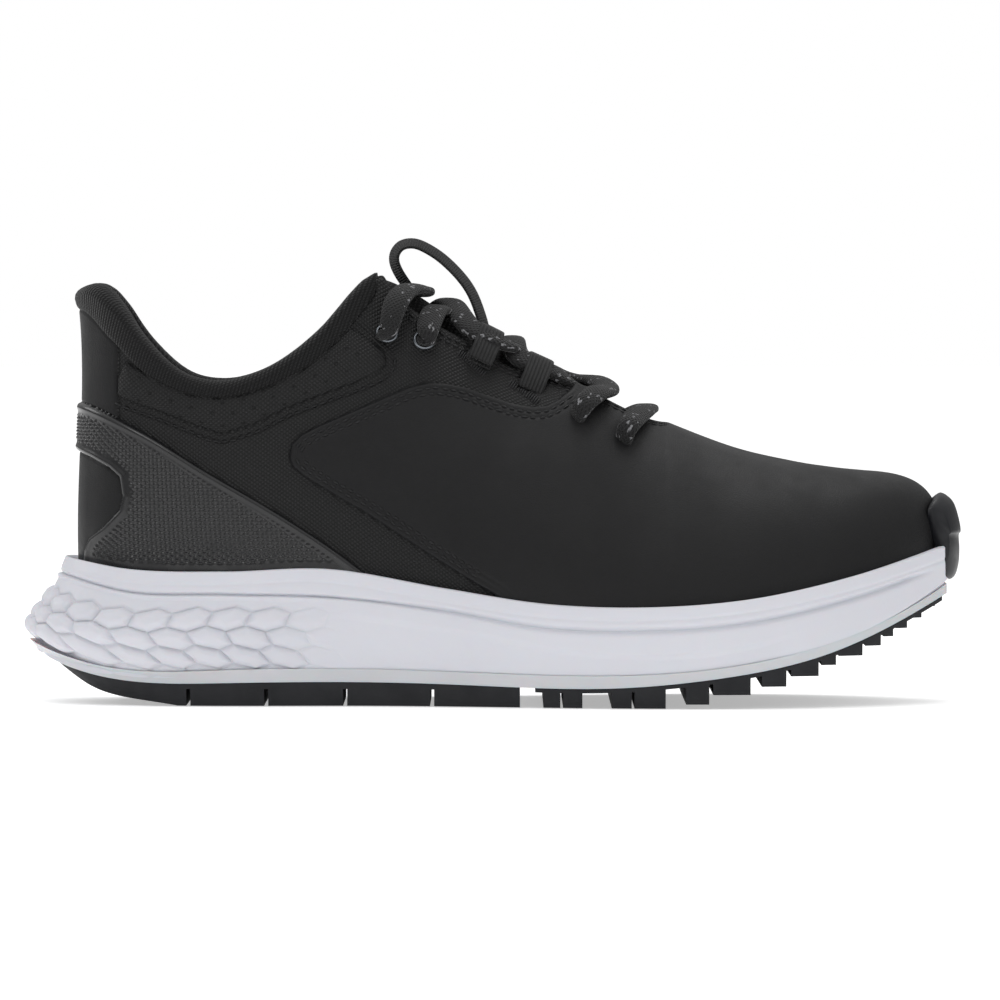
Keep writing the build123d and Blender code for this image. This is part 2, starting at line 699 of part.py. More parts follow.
LOOPS = [(12, 13), (15, 16)]      # the two points of LACE that each webbing loop lies between
for name, side in SIDES:
    with BuildPart() as webbing:
        for first, last in LOOPS:
            half = 0 if (side < 0) == (LACE[first][1] > 0) else 1
            points = lace_points(half, side if LACE[first][1] > 0 else -side)
            along = (points[last] - points[first]).normalized()
            down = (Vector(0, side * 0.75, -0.66) - along * along.dot(Vector(0, side * 0.75, -0.66))).normalized()
            middle = (points[first] + points[last]) / 2 + down * (WEBBING_LONG / 2 - LACE_R - 2 * WEBBING_THICK)
            high = 2 * (LACE_R + 2 * WEBBING_THICK)
            with BuildSketch(Plane(origin=middle, x_dir=down, z_dir=along)) as fold:
                SlotOverall(WEBBING_LONG, high)
                SlotOverall(WEBBING_LONG - 2 * WEBBING_THICK, high - 2 * WEBBING_THICK, mode=Mode.SUBTRACT)
            extrude(fold.sketch, amount=WEBBING_WIDE / 2, both=True)
    save(webbing, f"lace_loops_{name}")
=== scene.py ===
import math
from collections import namedtuple

import bpy
import numpy as np
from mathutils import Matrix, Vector


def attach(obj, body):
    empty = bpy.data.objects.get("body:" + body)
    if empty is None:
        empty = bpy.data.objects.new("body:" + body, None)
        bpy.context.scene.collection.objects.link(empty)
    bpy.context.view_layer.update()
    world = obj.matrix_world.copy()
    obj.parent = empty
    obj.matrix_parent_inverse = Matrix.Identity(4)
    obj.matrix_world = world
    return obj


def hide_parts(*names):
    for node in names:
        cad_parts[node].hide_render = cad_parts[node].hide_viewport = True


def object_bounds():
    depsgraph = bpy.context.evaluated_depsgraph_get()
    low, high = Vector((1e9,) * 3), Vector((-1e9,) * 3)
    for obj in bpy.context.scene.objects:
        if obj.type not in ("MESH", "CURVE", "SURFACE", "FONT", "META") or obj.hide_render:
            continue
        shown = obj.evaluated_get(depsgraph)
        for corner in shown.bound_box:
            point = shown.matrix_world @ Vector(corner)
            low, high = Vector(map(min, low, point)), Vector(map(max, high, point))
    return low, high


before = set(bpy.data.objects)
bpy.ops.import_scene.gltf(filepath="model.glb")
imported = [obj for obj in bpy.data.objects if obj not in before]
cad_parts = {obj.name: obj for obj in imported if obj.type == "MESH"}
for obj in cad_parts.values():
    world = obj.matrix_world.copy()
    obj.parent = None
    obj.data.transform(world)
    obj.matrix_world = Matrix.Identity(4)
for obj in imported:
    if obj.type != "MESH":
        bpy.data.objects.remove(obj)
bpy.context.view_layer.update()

# The looks of a golf shoe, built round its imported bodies. Shapes are worked out in millimetres from the
# back of the heel, and finish_piece turns them into the frame's metres.

MM = 0.001
LENGTH = 280.0
SIDES = (("lateral", -1), ("medial", 1))


# Camera, lights and floor.

VIEW_WIDTH = 0.2963       # metres across the picture at the target
DISTANCE = 2.6
ELEVATION = 1.5           # degrees
TARGET = Vector((0.0016, -0.03, 0.061))


def make_camera():
    """The side view of the lateral side, through a long lens."""
    data = bpy.data.cameras.new("camera")
    data.lens = data.sensor_width * DISTANCE / VIEW_WIDTH
    data.clip_end = 50
    camera = bpy.data.objects.new("camera", data)
    tilt = math.radians(ELEVATION)
    camera.location = TARGET + DISTANCE * Vector((0, -math.cos(tilt), math.sin(tilt)))
    camera.rotation_euler = (math.pi / 2 - tilt, 0, 0)
    bpy.context.collection.objects.link(camera)
    bpy.context.scene.camera = camera


def area_light(name, place, power, size, colour=(1, 1, 1)):
    """A square soft box that faces the shoe."""
    data = bpy.data.lights.new(name, "AREA")
    data.energy = power
    data.size = size
    data.color = colour
    light = bpy.data.objects.new(name, data)
    light.location = place
    light.rotation_euler = (Vector((0, 0, 0.05)) - Vector(place)).to_track_quat("-Z", "Y").to_euler()
    bpy.context.collection.objects.link(light)


def make_lights():
    area_light("key", (-0.35, -1.0, 1.35), 4.6, 0.6)
    area_light("top", (0.15, 0.3, 1.5), 4.6, 0.6)
    area_light("fill", (1.0, -1.4, 0.7), 1.6, 0.6)
    area_light("back", (-1.2, 0.6, 0.9), 3, 0.6)


def make_world():
    """A sky that lights more from above, and that the camera sees as plain white."""
    world = bpy.data.worlds.new("studio")
    world.use_nodes = True
    tree = world.node_tree
    sky = tree.nodes["Background"]
    up = tree.nodes.new("ShaderNodeSeparateXYZ")
    shade = tree.nodes.new("ShaderNodeMapRange")
    for key, value in (("From Min", 0.0), ("From Max", 0.9), ("To Min", 0.2), ("To Max", 0.95)):
        shade.inputs[key].default_value = value
    seen = tree.nodes.new("ShaderNodeLightPath")
    pick = tree.nodes.new("ShaderNodeMix")
    pick.inputs["B"].default_value = 1.0
    tree.links.new(tree.nodes.new("ShaderNodeTexCoord").outputs["Generated"], up.inputs[0])
    tree.links.new(up.outputs["Z"], shade.inputs["Value"])
    tree.links.new(seen.outputs["Is Camera Ray"], pick.inputs["Factor"])
    tree.links.new(shade.outputs["Result"], pick.inputs["A"])
    tree.links.new(pick.outputs["Result"], sky.inputs["Strength"])
    sky.inputs["Color"].default_value = (1, 1, 1, 1)
    bpy.context.scene.world = world
    bpy.context.scene.view_settings.view_transform = "Standard"


def make_floor():
    """A pale floor that glows a little, so that it fades into the white behind it."""
    mesh = bpy.data.meshes.new("floor")
    mesh.from_pydata([(-9, -9, 0), (9, -9, 0), (9, 9, 0), (-9, 9, 0)], [], [(0, 1, 2, 3)])
    floor = bpy.data.objects.new("floor", mesh)
    bpy.context.collection.objects.link(floor)
    floor.location.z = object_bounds()[0][2] - 0.0002
    g = Graph("floor_paint", (0.9, 0.9, 0.9), 0.8, Emission_Color=(1, 1, 1, 1), Emission_Strength=0.42)
    g.set(g.shader, "Specular IOR Level", 0.1)
    floor.data.materials.append(g.material)


# Materials.


class Graph:
    """A node material that is built one call at a time."""

    def __init__(self, name, colour, roughness, **sockets):
        self.material = bpy.data.materials.new(name)
        self.material.use_nodes = True
        self.tree = self.material.node_tree
        self.shader = self.tree.nodes["Principled BSDF"]
        self.set(self.shader, "Base Color", (*colour, 1))
        self.set(self.shader, "Roughness", roughness)
        for key, value in sockets.items():
            self.set(self.shader, key.replace("_", " "), value)
        self.uv = self.add("ShaderNodeUVMap", uv_map="plan").outputs["UV"]
        self.place = self.add("ShaderNodeTexCoord").outputs["Object"]

    def set(self, node, key, value):
        """Set a socket, or link it."""
        if isinstance(value, bpy.types.NodeSocket):
            self.tree.links.new(value, node.inputs[key])
        else:
            node.inputs[key].default_value = value

    def add(self, kind, inputs=None, **attributes):
        node = self.tree.nodes.new(kind)
        for key, value in attributes.items():
            setattr(node, key, value)
        for key, value in (inputs or {}).items():
            self.set(node, key, value)
        return node

    def math(self, operation, a, b=0.0, c=0.0):
        return self.add("ShaderNodeMath", {0: a, 1: b, 2: c}, operation=operation).outputs[0]

    def noise(self, scale, detail=3.0, where=None, rough=0.5):
        inputs = {"Vector": where or self.place, "Scale": scale, "Detail": detail, "Roughness": rough}
        return self.add("ShaderNodeTexNoise", inputs).outputs["Fac"]

    def cells(self, scale, feature="F1", where=None, output="Distance"):
        inputs = {"Vector": where or self.place, "Scale": scale}
        return self.add("ShaderNodeTexVoronoi", inputs, feature=feature).outputs[output]

    def ramp(self, value, low, high, to_low=0.0, to_high=1.0):
        inputs = {"Value": value, "From Min": low, "From Max": high, "To Min": to_low, "To Max": to_high}
        return self.add("ShaderNodeMapRange", inputs, interpolation_type="SMOOTHSTEP").outputs["Result"]

    def blend(self, factor, a, b):
        node = self.add("ShaderNodeMix", data_type="RGBA")
        self.set(node, "Factor", factor)
        for key, value in ((6, a), (7, b)):
            self.set(node, key, (*value, 1) if isinstance(value, tuple) else value)
        return node.outputs[2]

    def axes(self, where=None):
        return self.add("ShaderNodeSeparateXYZ", {0: where or self.uv}).outputs

    def wave(self, value, pitch):
        """A rounded ridge that repeats at a pitch, from 0 to 1."""
        turn = self.math("MULTIPLY", value, 2 * math.pi / pitch)
        return self.math("MULTIPLY_ADD", self.math("SINE", turn), 0.5, 0.5)

    def bump(self, height, depth, strength=1.0):
        """Add relief of a depth in metres to what the shader has already."""
        inputs = {"Height": height, "Distance": depth, "Strength": strength}
        before = self.shader.inputs["Normal"].links
        if before:
            inputs["Normal"] = before[0].from_socket
        self.set(self.shader, "Normal", self.add("ShaderNodeBump", inputs).outputs["Normal"])

    def colour(self, value):
        self.set(self.shader, "Base Color", value)

    def roughness(self, value):
        self.set(self.shader, "Roughness", value)

    def tint(self, scale, detail, dark, light):
        """A colour that drifts between two tones."""
        self.colour(self.blend(self.noise(scale, detail), dark, light))

    def wear(self, scale, detail, low, high, to_low, to_high):
        """A roughness that drifts from to_low to to_high."""
        self.roughness(self.ramp(self.noise(scale, detail), low, high, to_low, to_high))

    def grain(self, scale, detail, depth, strength):
        """A fine uneven relief."""
        self.bump(self.noise(scale, detail), depth, strength)


def leather():
    """Smooth matte leather with a fine grain."""
    g = Graph("leather", (0.009, 0.009, 0.0095), 0.44, Specular_IOR_Level=0.22)
    g.tint(26, 3, (0.0055, 0.0055, 0.006), (0.009, 0.009, 0.0095))
    g.wear(60, 4, 0.3, 0.7, 0.42, 0.56)
    g.bump(g.ramp(g.cells(1500, "DISTANCE_TO_EDGE"), 0.0, 0.25), 0.00006, 0.55)
    g.grain(900, 2, 0.00008, 0.4)
    return g.material


def ripstop():
    """Coated fabric with a fine diagonal emboss."""
    g = Graph("ripstop", (0.008, 0.008, 0.0085), 0.4, Specular_IOR_Level=0.25)
    u, v, _ = g.axes()
    rising = g.wave(g.math("MULTIPLY_ADD", v, 1.35, u), 0.00165)
    falling = g.wave(g.math("MULTIPLY_ADD", v, -1.35, u), 0.00165)
    cell = g.math("MULTIPLY", g.math("POWER", rising, 0.6), g.math("POWER", falling, 0.6))
    # Painted shade: the colour darkens down into the grooves of the emboss, where the cells are low.
    g.colour(g.blend(cell, (0.003, 0.003, 0.003), (0.01, 0.01, 0.0105)))
    g.roughness(g.ramp(cell, 0.1, 0.9, 0.6, 0.36))
    g.bump(cell, 0.00022, 0.9)
    g.grain(1400, 2, 0.00004, 0.5)
    return g.material


def film():
    """Moulded gloss film over the heel."""
    g = Graph("film", (0.014, 0.014, 0.0155), 0.26, Specular_IOR_Level=0.5)
    g.wear(180, 5, 0.25, 0.75, 0.2, 0.34)
    g.tint(40, 3, (0.005, 0.005, 0.0055), (0.009, 0.009, 0.010))
    g.grain(700, 3, 0.00003, 0.5)
    return g.material


def knit():
    """Fine ribbed knit of the collar."""
    g = Graph("knit", (0.018, 0.018, 0.019), 0.85,
              Sheen_Weight=0.12, Sheen_Roughness=0.5, Specular_IOR_Level=0.2)
    u, v, _ = g.axes()
    rib = g.wave(g.math("MULTIPLY_ADD", v, 0.35, u), 0.0011)
    loop = g.wave(g.math("MULTIPLY_ADD", u, 0.4, v), 0.0008)
    cell = g.math("MULTIPLY", rib, g.math("MULTIPLY_ADD", loop, 0.6, 0.4))
    # Painted shade: the colour darkens down between the ribs and loops, where the relief is low.
    g.colour(g.blend(cell, (0.0025, 0.0025, 0.0025), (0.014, 0.014, 0.0145)))
    g.bump(cell, 0.0003, 0.9)
    g.grain(2200, 2, 0.00006, 0.6)
    return g.material


def mesh_cloth():
    """Brushed lining cloth."""
    g = Graph("lining_cloth", (0.02, 0.02, 0.022), 0.9,
              Sheen_Weight=0.1, Sheen_Roughness=0.6, Specular_IOR_Level=0.2)
    weave = g.cells(1100, "F1")
    g.colour(g.blend(weave, (0.016, 0.016, 0.0175), (0.006, 0.006, 0.0065)))
    g.bump(weave, 0.00025, 0.8)
    g.grain(300, 4, 0.0002, 0.4)
    return g.material


def foam_white():
    """Moulded foam of the midsole: cool, nearly white, with a fine skin."""
    g = Graph("midsole_foam_skin", (0.62, 0.63, 0.67), 0.55, Subsurface_Weight=0.12, Subsurface_Scale=0.002)
    g.tint(22, 3, (0.575, 0.58, 0.63), (0.63, 0.635, 0.68))
    g.wear(90, 4, 0.3, 0.7, 0.48, 0.62)
    g.grain(1600, 3, 0.00006, 0.6)
    g.bump(g.cells(900, "SMOOTH_F1"), 0.00005, 0.35)
    return g.material


def plate_rubber():
    """Clear-tinted pale rubber of the outsole plate."""
    g = Graph("plate_rubber", (0.56, 0.58, 0.6), 0.34, Subsurface_Weight=0.35, Subsurface_Scale=0.004)
    g.tint(30, 3, (0.50, 0.503, 0.525), (0.57, 0.572, 0.595))
    g.wear(120, 4, 0.3, 0.7, 0.28, 0.42)
    g.grain(500, 3, 0.00005, 0.5)
    return g.material


def dark_rubber(name, roughness):
    """Charcoal rubber, a little blue, with a moulded skin."""
    g = Graph(name, (0.01, 0.0105, 0.013), roughness, Specular_IOR_Level=0.3)
    g.tint(35, 4, (0.006, 0.0065, 0.008), (0.011, 0.0115, 0.014))
    g.wear(110, 4, 0.25, 0.75, roughness - 0.08, roughness + 0.1)
    g.grain(1300, 3, 0.00006, 0.6)
    return g.material


def lace_braid():
    """Flat braid, black with grey flecks. Its plan runs along the lace and round it."""
    g = Graph("lace_braid", (0.01, 0.01, 0.011), 0.75,
              Sheen_Weight=0.1, Sheen_Roughness=0.5, Specular_IOR_Level=0.25)
    u, v, _ = g.axes()
    one = g.wave(g.math("ADD", u, v), 0.0013)
    two = g.wave(g.math("SUBTRACT", u, v), 0.0013)
    strand = g.math("MAXIMUM", one, two)
    patches = g.add("ShaderNodeVectorMath", {0: g.uv, 1: (1 / 0.0009, 1 / 0.0007, 1)}, operation="MULTIPLY")
    fleck = g.math("GREATER_THAN", g.cells(1, output="Color", where=patches.outputs[0]), 0.83)
    # Painted shade: both tones darken where the strands dip between each other. The grey flecks are the
    # braid's own colour.
    dark = g.blend(strand, (0.002, 0.002, 0.002), (0.012, 0.012, 0.0125))
    light = g.blend(strand, (0.03, 0.03, 0.031), (0.2, 0.2, 0.21))
    g.colour(g.blend(fleck, dark, light))
    g.bump(strand, 0.0003, 0.9)
    g.grain(2600, 2, 0.00006, 0.6)
    return g.material


def webbing(name, lengthways):
    """Black grosgrain, with its ribs along or across its length."""
    g = Graph(name, (0.014, 0.014, 0.015), 0.6,
              Sheen_Weight=0.1, Sheen_Roughness=0.4, Specular_IOR_Level=0.3)
    u, v, _ = g.axes()
    across = g.wave(v, 0.0011) if lengthways else g.wave(u, 0.00075)
    fine = g.wave(u, 0.0004) if lengthways else g.wave(v, 0.0004)
    # Painted shade: the colour darkens down in the valleys between the ribs.
    g.colour(g.blend(across, (0.002, 0.002, 0.002), (0.012, 0.012, 0.0125)))
    g.bump(across, 0.0003, 0.9)
    g.bump(fine, 0.0001, 0.5)
    return g.material


def gunmetal():
    """Plated metal of the eyelets."""
    g = Graph("gunmetal", (0.18, 0.19, 0.2), 0.34, Metallic=1.0)
    g.wear(900, 4, 0.3, 0.7, 0.28, 0.45)
    g.tint(300, 3, (0.12, 0.13, 0.145), (0.22, 0.235, 0.25))
    g.grain(2400, 2, 0.00002, 0.5)
    return g.material


def hole_shade_paint():
    """Near-black paint for each perforation's lip and floor: painted shade that stands for the inside of the
    hole, in an uneven tone.
    """
    # The near-black colour is painted shade for the depth of a hole.
    g = Graph("hole_shade_paint", (0.002, 0.002, 0.002), 0.6, Specular_IOR_Level=0.2)
    g.tint(1500, 2, (0.001, 0.001, 0.001), (0.004, 0.004, 0.004))
    return g.material


def thread():
    """Black sewing thread with a twist."""
    g = Graph("thread", (0.02, 0.02, 0.022), 0.45, Specular_IOR_Level=0.35)
    g.tint(500, 2, (0.004, 0.004, 0.0045), (0.014, 0.014, 0.015))
    g.bump(g.wave(g.axes(g.place)[0], 0.0004), 0.00008, 0.6)
    return g.material


# Lines and surfaces, in millimetres. Side-view lines give the distance from the heel and the height.


def cubic(t, run, low, high, low_slope, high_slope):
    """The smooth line from low to high with these slopes, at a share t of its run."""
    start = (t ** 3 - 2 * t ** 2 + t) * run * low_slope
    end = (t ** 3 - t ** 2) * run * high_slope
    return low + (high - low) * t * t * (3 - 2 * t) + start + end


def between(a, b, c, d, t):
    """A share t of the way from b to c, on the smooth line through all four."""
    return b + t * (c - a + t * (2 * a - 5 * b + 4 * c - d + t * (3 * (b - c) + d - a))) / 2


def curve(points, x):
    """The height of a smooth side-view line at each distance."""
    px, pz = np.array(points, float).T
    slope = np.gradient(pz, px)
    i = np.clip(np.searchsorted(px, x) - 1, 0, len(px) - 2)
    run = px[i + 1] - px[i]
    t = np.clip((x - px[i]) / run, 0, 1)
    return cubic(t, run, pz[i], pz[i + 1], slope[i], slope[i + 1])


def smooth_path(points, steps=6):
    """More points on the smooth line through these."""
    p = np.array(points, float)
    p = np.vstack([2 * p[0] - p[1], p, 2 * p[-1] - p[-2]])
    out = [between(*four, t) for four in zip(p, p[1:], p[2:], p[3:]) for t in np.arange(steps) / steps]
    return np.array([*out, p[-2]])


def run_along(points):
    """How far along its first axis each point lies, on one path or on every line of a grid."""
    steps = np.linalg.norm(np.diff(points, axis=0), axis=-1)
    return np.concatenate([np.zeros_like(steps[:1]), np.cumsum(steps, axis=0)])


def unit(v):
    """The same directions, one long."""
    return v / np.maximum(np.linalg.norm(v, axis=-1, keepdims=True), 1e-9)


def inside(x, z, polygon):
    """How far each point is inside a side-view outline, negative outside."""
    a = np.array(polygon, float)
    b = np.roll(a, -1, axis=0)
    best = np.full(x.shape, 1e9)
    within = np.zeros(x.shape, bool)
    for (ax, az), (bx, bz) in zip(a, b):
        dx, dz = bx - ax, bz - az
        along = np.clip(((x - ax) * dx + (z - az) * dz) / max(dx * dx + dz * dz, 1e-9), 0, 1)
        best = np.minimum(best, np.hypot(x - ax - along * dx, z - az - along * dz))
        if dz:
            within ^= ((az > z) != (bz > z)) & (x < ax + (z - az) * dx / dz)
    return np.where(within, best, -best)


def rounded(distance, width):
    """A quarter-round edge: 0 at the edge, 1 from its width inwards."""
    q = np.clip(distance / width, 0, 1)
    return np.sqrt(1 - (1 - q) ** 2)


def ridge(value, width):
    """A soft ridge, 1 where the value is 0."""
    return np.exp(-(value / width) ** 2)


def step(value, low, high):
    """A smooth rise from 0 at low to 1 at high."""
    t = np.clip((value - low) / (high - low), 0, 1)
    return t * t * (3 - 2 * t)


RIM_TOP = [(-6, 45.5), (15, 43), (30, 40.5), (60, 39.6), (90, 40.4), (125, 34.8), (155, 30.4),
           (184, 29.5), (215, 31.8), (247, 38.3), (286, 49.9)]
GROOVE = [(-6, 42), (12, 38.6), (30, 34.3), (60, 33.3), (90, 32.5), (125, 28.5), (155, 23.6),
          (184, 22.9), (215, 25.3), (247, 32.3), (286, 45)]
CREASE = [(80, 28), (100, 26), (131, 21.7), (160, 16.5), (180, 14.9), (195, 15.1), (215, 17.8), (236, 24)]
PLATE_TOP = [(-6, 23), (9.5, 15.5), (25, 11.4), (60, 10.7), (130, 10.3), (175, 9.6), (202, 11.3),
             (228, 15.9), (253, 24.1), (286, 43.5)]
TOPLINE = [(8, 117), (15.5, 120.6), (20, 121.8), (27, 116.8), (36, 105.8), (47, 96.2), (58.5, 93.6),
           (70.5, 96.6), (88, 109), (100, 122.6), (105.5, 127), (112, 126.5), (126, 118)]
ROLL_LOW = [(8, 114), (16, 117.4), (26.5, 108), (36, 98.5), (47, 92.8), (58, 91), (70, 93.4),
            (85, 100.7), (97, 112), (104, 121), (112, 133)]
WRAP_TOP = [(8, 90.6), (15.7, 89.9), (34, 82), (54.5, 69.6), (77.6, 56.1), (92, 46.8), (104, 38)]
WINDOW = [(-4, 76), (15, 75.6), (21, 73), (26.1, 70.2), (29, 67.5), (29.8, 62), (29, 58), (24.5, 53),
          (20, 49.5), (18.6, 46), (17.5, 36), (-4, 36)]
OVERLAY = [(79.2, 73.5), (79.7, 77.4), (82.6, 80.3), (88.3, 83.1), (99, 87.7), (107.5, 91.3), (114.6, 94.3),
           (120.5, 95.6), (126, 95.2), (131, 94.1), (138, 91.6), (145.2, 89.2), (151, 88.1), (155.1, 88.4),
           (158.7, 90.2), (162.3, 93), (166, 99), (166, 170), (300, 170), (300, 10), (150, 10), (148, 27),
           (140.2, 33.3), (134.5, 36.5), (123.9, 43), (113.2, 49.8), (102.5, 56.8), (91.9, 62.8),
           (83.3, 68.1), (80, 71)]
PANEL = [(28.3, 97), (28, 92), (32, 90), (40.6, 87.1), (50.1, 83.4), (59, 80.4), (69, 83.4), (78.5, 88.1),
         (91.3, 92.9), (100, 96), (106, 98.8), (108.1, 101.4), (107.2, 105), (100, 110.5), (97, 112),
         (91.3, 106.1), (83.3, 99.6), (73.8, 94.8), (65.2, 91.9), (57.8, 91), (50.1, 91.9), (42.6, 94.8),
         (36, 98.5), (30.5, 102)]
THROAT = [(98, 13), (106, 17), (112, 18.5), (140, 15.5), (166, 11.5), (182, 8.5)]
THROAT_END = 191.5
TAB_FRONT = 28.0
WRAP_FRONT = 103.0
OVERLAY_SEAMS = (1.9, 3.5)      # how far each seam runs inside its edge
THROAT_SEAMS = (2.2, 4.0)
PANEL_SEAM = 2.2

# Stations round the upper: foot_x, the lateral and medial half widths, centre_x, foot_z, low_in, low_z,
# high_back, high_z, gap and top_z. Each is a plane from the foot of the wall to the shoe's axis, at
# centre_x. low_in and low_z give the lower control point of its curve, high_back and high_z the upper one,
# and the curve ends gap short of the axis.
STATIONS = np.array([
    (16.5, 0.0, 0.0, 46.0, 30.0, -3.4, 66, -6.7, 98, 32.0, 131),
    (19.6, 13.0, 13.0, 47.0, 30.0, -3.2, 66, -4.5, 98, 30.8, 131),
    (31.0, 24.5, 24.5, 50.0, 29.0, -2.8, 64, -0.4, 96, 28.0, 131),
    (58.0, 30.0, 29.0, 60.0, 28.5, -2.5, 62, 5.6, 94, 22.1, 131),
    (88.0, 31.5, 28.5, 88.0, 28.0, -2.5, 60, 8.8, 94, 19.5, 131),
    (112.0, 34.0, 29.0, 111.0, 25.5, -2.6, 58, 15.5, 95, 14.5, 131),
    (142.0, 40.5, 34.0, 140.0, 21.0, -3.0, 57, 16.0, 91, 13.5, 104.5),
    (166.0, 46.0, 41.0, 165.0, 18.5, -3.0, 50, 21.5, 84, 11.5, 93.8),
    (191.0, 47.8, 46.8, 190.0, 18.5, -3.2, 52, 22.0, 82.9, 0.0, 82.9),
    (216.0, 45.3, 46.8, 211.0, 21.0, -3.2, 51, 23.0, 74.9, 0.0, 74.9),
    (240.0, 36.5, 39.5, 228.0, 26.0, -3.0, 55, 19.5, 70.8, 0.0, 70.8),
    (258.5, 23.5, 26.0, 238.0, 31.0, -2.6, 59, 19.0, 69.0, 0.0, 69.0),
    (268.6, 11.5, 12.5, 243.0, 34.5, -2.2, 61, 23.0, 68.2, 0.0, 68.2),
    (272.3, 0.0, 0.0, 246.0, 36.0, -2.0, 62, 24.0, 67.9, 0.0, 67.9),
])
LAST = len(STATIONS) - 1
MIRROR = np.array([1, -1, -1, 1, 1, 1, 1, 1, 1, 1, 1])
RUN = np.vstack([STATIONS[1] * MIRROR, STATIONS, STATIONS[-2] * MIRROR])


def wall(w, t):
    """A point of the upper's base surface.

    w runs from -13 at the toe, along the lateral side and past 0 at the back of the heel, to 13.
    t runs from 0 at the foot of the wall to 1 at its top.
    """
    w = np.asarray(w, float)
    over = np.abs(w) > LAST
    w = np.where(over, np.sign(w) * (np.abs(w) - 2 * LAST), w)
    u = np.abs(w)
    i = np.clip(u.astype(int), 0, LAST - 1)
    f = (u - i)[..., None]
    a, b, c, d = RUN[i], RUN[i + 1], RUN[i + 2], RUN[i + 3]
    s = between(a, b, c, d, f)
    side = np.where(w < 0, -1.0, 1.0)
    half = side * np.where(w < 0, s[..., 1], s[..., 2])
    reach = np.hypot(s[..., 3] - s[..., 0], half)
    end = reach - np.maximum(s[..., 9], 0)
    p1, p2 = s[..., 5], end - s[..., 7]
    m = 1 - t
    along = 3 * m * m * t * p1 + 3 * m * t * t * p2 + t ** 3 * end
    z = m ** 3 * s[..., 4] + 3 * m * m * t * s[..., 6] + 3 * m * t * t * s[..., 8] + t ** 3 * s[..., 10]
    x = s[..., 0] + (s[..., 3] - s[..., 0]) * along / reach
    y = half * (1 - along / reach)
    return np.stack([x, y, z], -1)


def wall_normal(w, t):
    """The way out of the surface there."""
    t = np.clip(t, 0.002, 0.998)
    round_it = wall(w + 0.01, t) - wall(w - 0.01, t)
    up = wall(w, t + 0.002) - wall(w, t - 0.002)
    return unit(np.cross(up, round_it))


def throat_half(x):
    """Half the throat's width at each distance from the heel."""
    end = np.clip((x - 182) / (THROAT_END - 182), 0, 1)
    return np.where(x < 182, curve(THROAT, x), 8.5 * np.sqrt(1 - end ** 2)) * (x < THROAT_END)


def top_of(w):
    """Where each column of the upper ends: at the topline, the throat, or the crest of the toe."""
    t = np.linspace(0, 1, 1600)
    p = wall(w[:, None], t[None, :])
    x, y, z = p[..., 0], np.abs(p[..., 1]), p[..., 2]
    over = ((x < 112) & (z > curve(TOPLINE, x))) | ((x > 97) & (y < throat_half(x)) & (z > 60))
    first = np.where(over.any(1), over.argmax(1), len(t) - 1)
    return t[first]


def foot_of(w):
    """Where each column of the upper starts, a little below the rim of the midsole."""
    t = np.linspace(0, 0.5, 500)
    p = wall(w[:, None], t[None, :])
    over = p[..., 2] > curve(RIM_TOP, p[..., 0]) - 3.0
    return t[over.argmax(1)]


def ease_line(values, reach=3):
    """The same values without the sampling's small steps."""
    kernel = np.hanning(2 * reach + 3)[1:-1]
    padded = np.concatenate([values[-reach:], values, values[:reach]])
    return np.convolve(padded, kernel / kernel.sum(), "valid")


# Mesh helpers.


def face_outwards(mesh):
    """Turn the faces over if most of them look inwards."""
    values = {}
    for key, size in (("center", 3), ("normal", 3), ("area", 1)):
        values[key] = np.empty(len(mesh.polygons) * size)
        mesh.polygons.foreach_get(key, values[key])
        values[key] = values[key].reshape(-1, size)
    centres, normals, areas = values.values()
    middle = (centres * areas).sum(0) / areas.sum()
    if ((centres - middle) * normals * areas).sum() < 0:
        mesh.flip_normals()


def finish_piece(name, points, faces, plan, material, body, nodes=()):
    """An object in metres that rides on a body and stands for some CAD nodes."""
    mesh = bpy.data.meshes.new(name)
    place = np.array(points, float).reshape(-1, 3)
    place[:, 0] -= LENGTH / 2
    mesh.from_pydata((place * MM).tolist(), [], [tuple(face) for face in faces])
    if plan is not None:
        layer = mesh.uv_layers.new(name="plan")
        index = np.empty(len(mesh.loops), int)
        mesh.loops.foreach_get("vertex_index", index)
        plan = np.asarray(plan, float).reshape(-1, 2)
        layer.data.foreach_set("uv", (plan[index] * MM).astype(np.float32).ravel())
    mesh.validate()
    face_outwards(mesh)
    mesh.polygons.foreach_set("use_smooth", np.ones(len(mesh.polygons), bool))
    mesh.materials.append(material)
    piece = bpy.data.objects.new(name, mesh)
    bpy.context.collection.objects.link(piece)
    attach(piece, body)
    if nodes:
        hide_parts(*nodes)
    return piece


def grid_faces(columns, rows, closed):
    """The faces of a grid of columns x rows, whose columns may close into a ring."""
    index = np.arange(columns * rows).reshape(columns, rows)
    after = np.roll(index, -1, axis=0)
    if not closed:
        index, after = index[:-1], after[:-1]
    quads = np.stack([index[:, :-1], after[:, :-1], after[:, 1:], index[:, 1:]], -1)
    return quads.reshape(-1, 4)


def part_of(points, plan, faces):
    """Only the points that these faces use, and the faces in their numbers."""
    used, faces = np.unique(faces, return_inverse=True)
    return points.reshape(-1, 3)[used], plan.reshape(-1, 2)[used], faces.reshape(-1, 4)


def capped_faces(rings, count):
    """The faces of a tube of rings with this many points each, and of its two ends."""
    index = np.arange(rings * count).reshape(rings, count)
    right = np.roll(index, -1, axis=1)
    quads = np.stack([index[:-1], right[:-1], right[1:], index[1:]], -1).reshape(-1, 4)
    return [*quads.tolist(), index[0][::-1].tolist(), index[-1].tolist()]


def joined(parts):
    """Several (points, plan, faces) as one."""
    points, plans, faces = [], [], []
    count = 0
    for p, plan, f in parts:
        points.append(p)
        plans.append(plan)
        faces += [[i + count for i in face] for face in f]
        count += len(p)
    return np.vstack(points), np.vstack(plans), faces


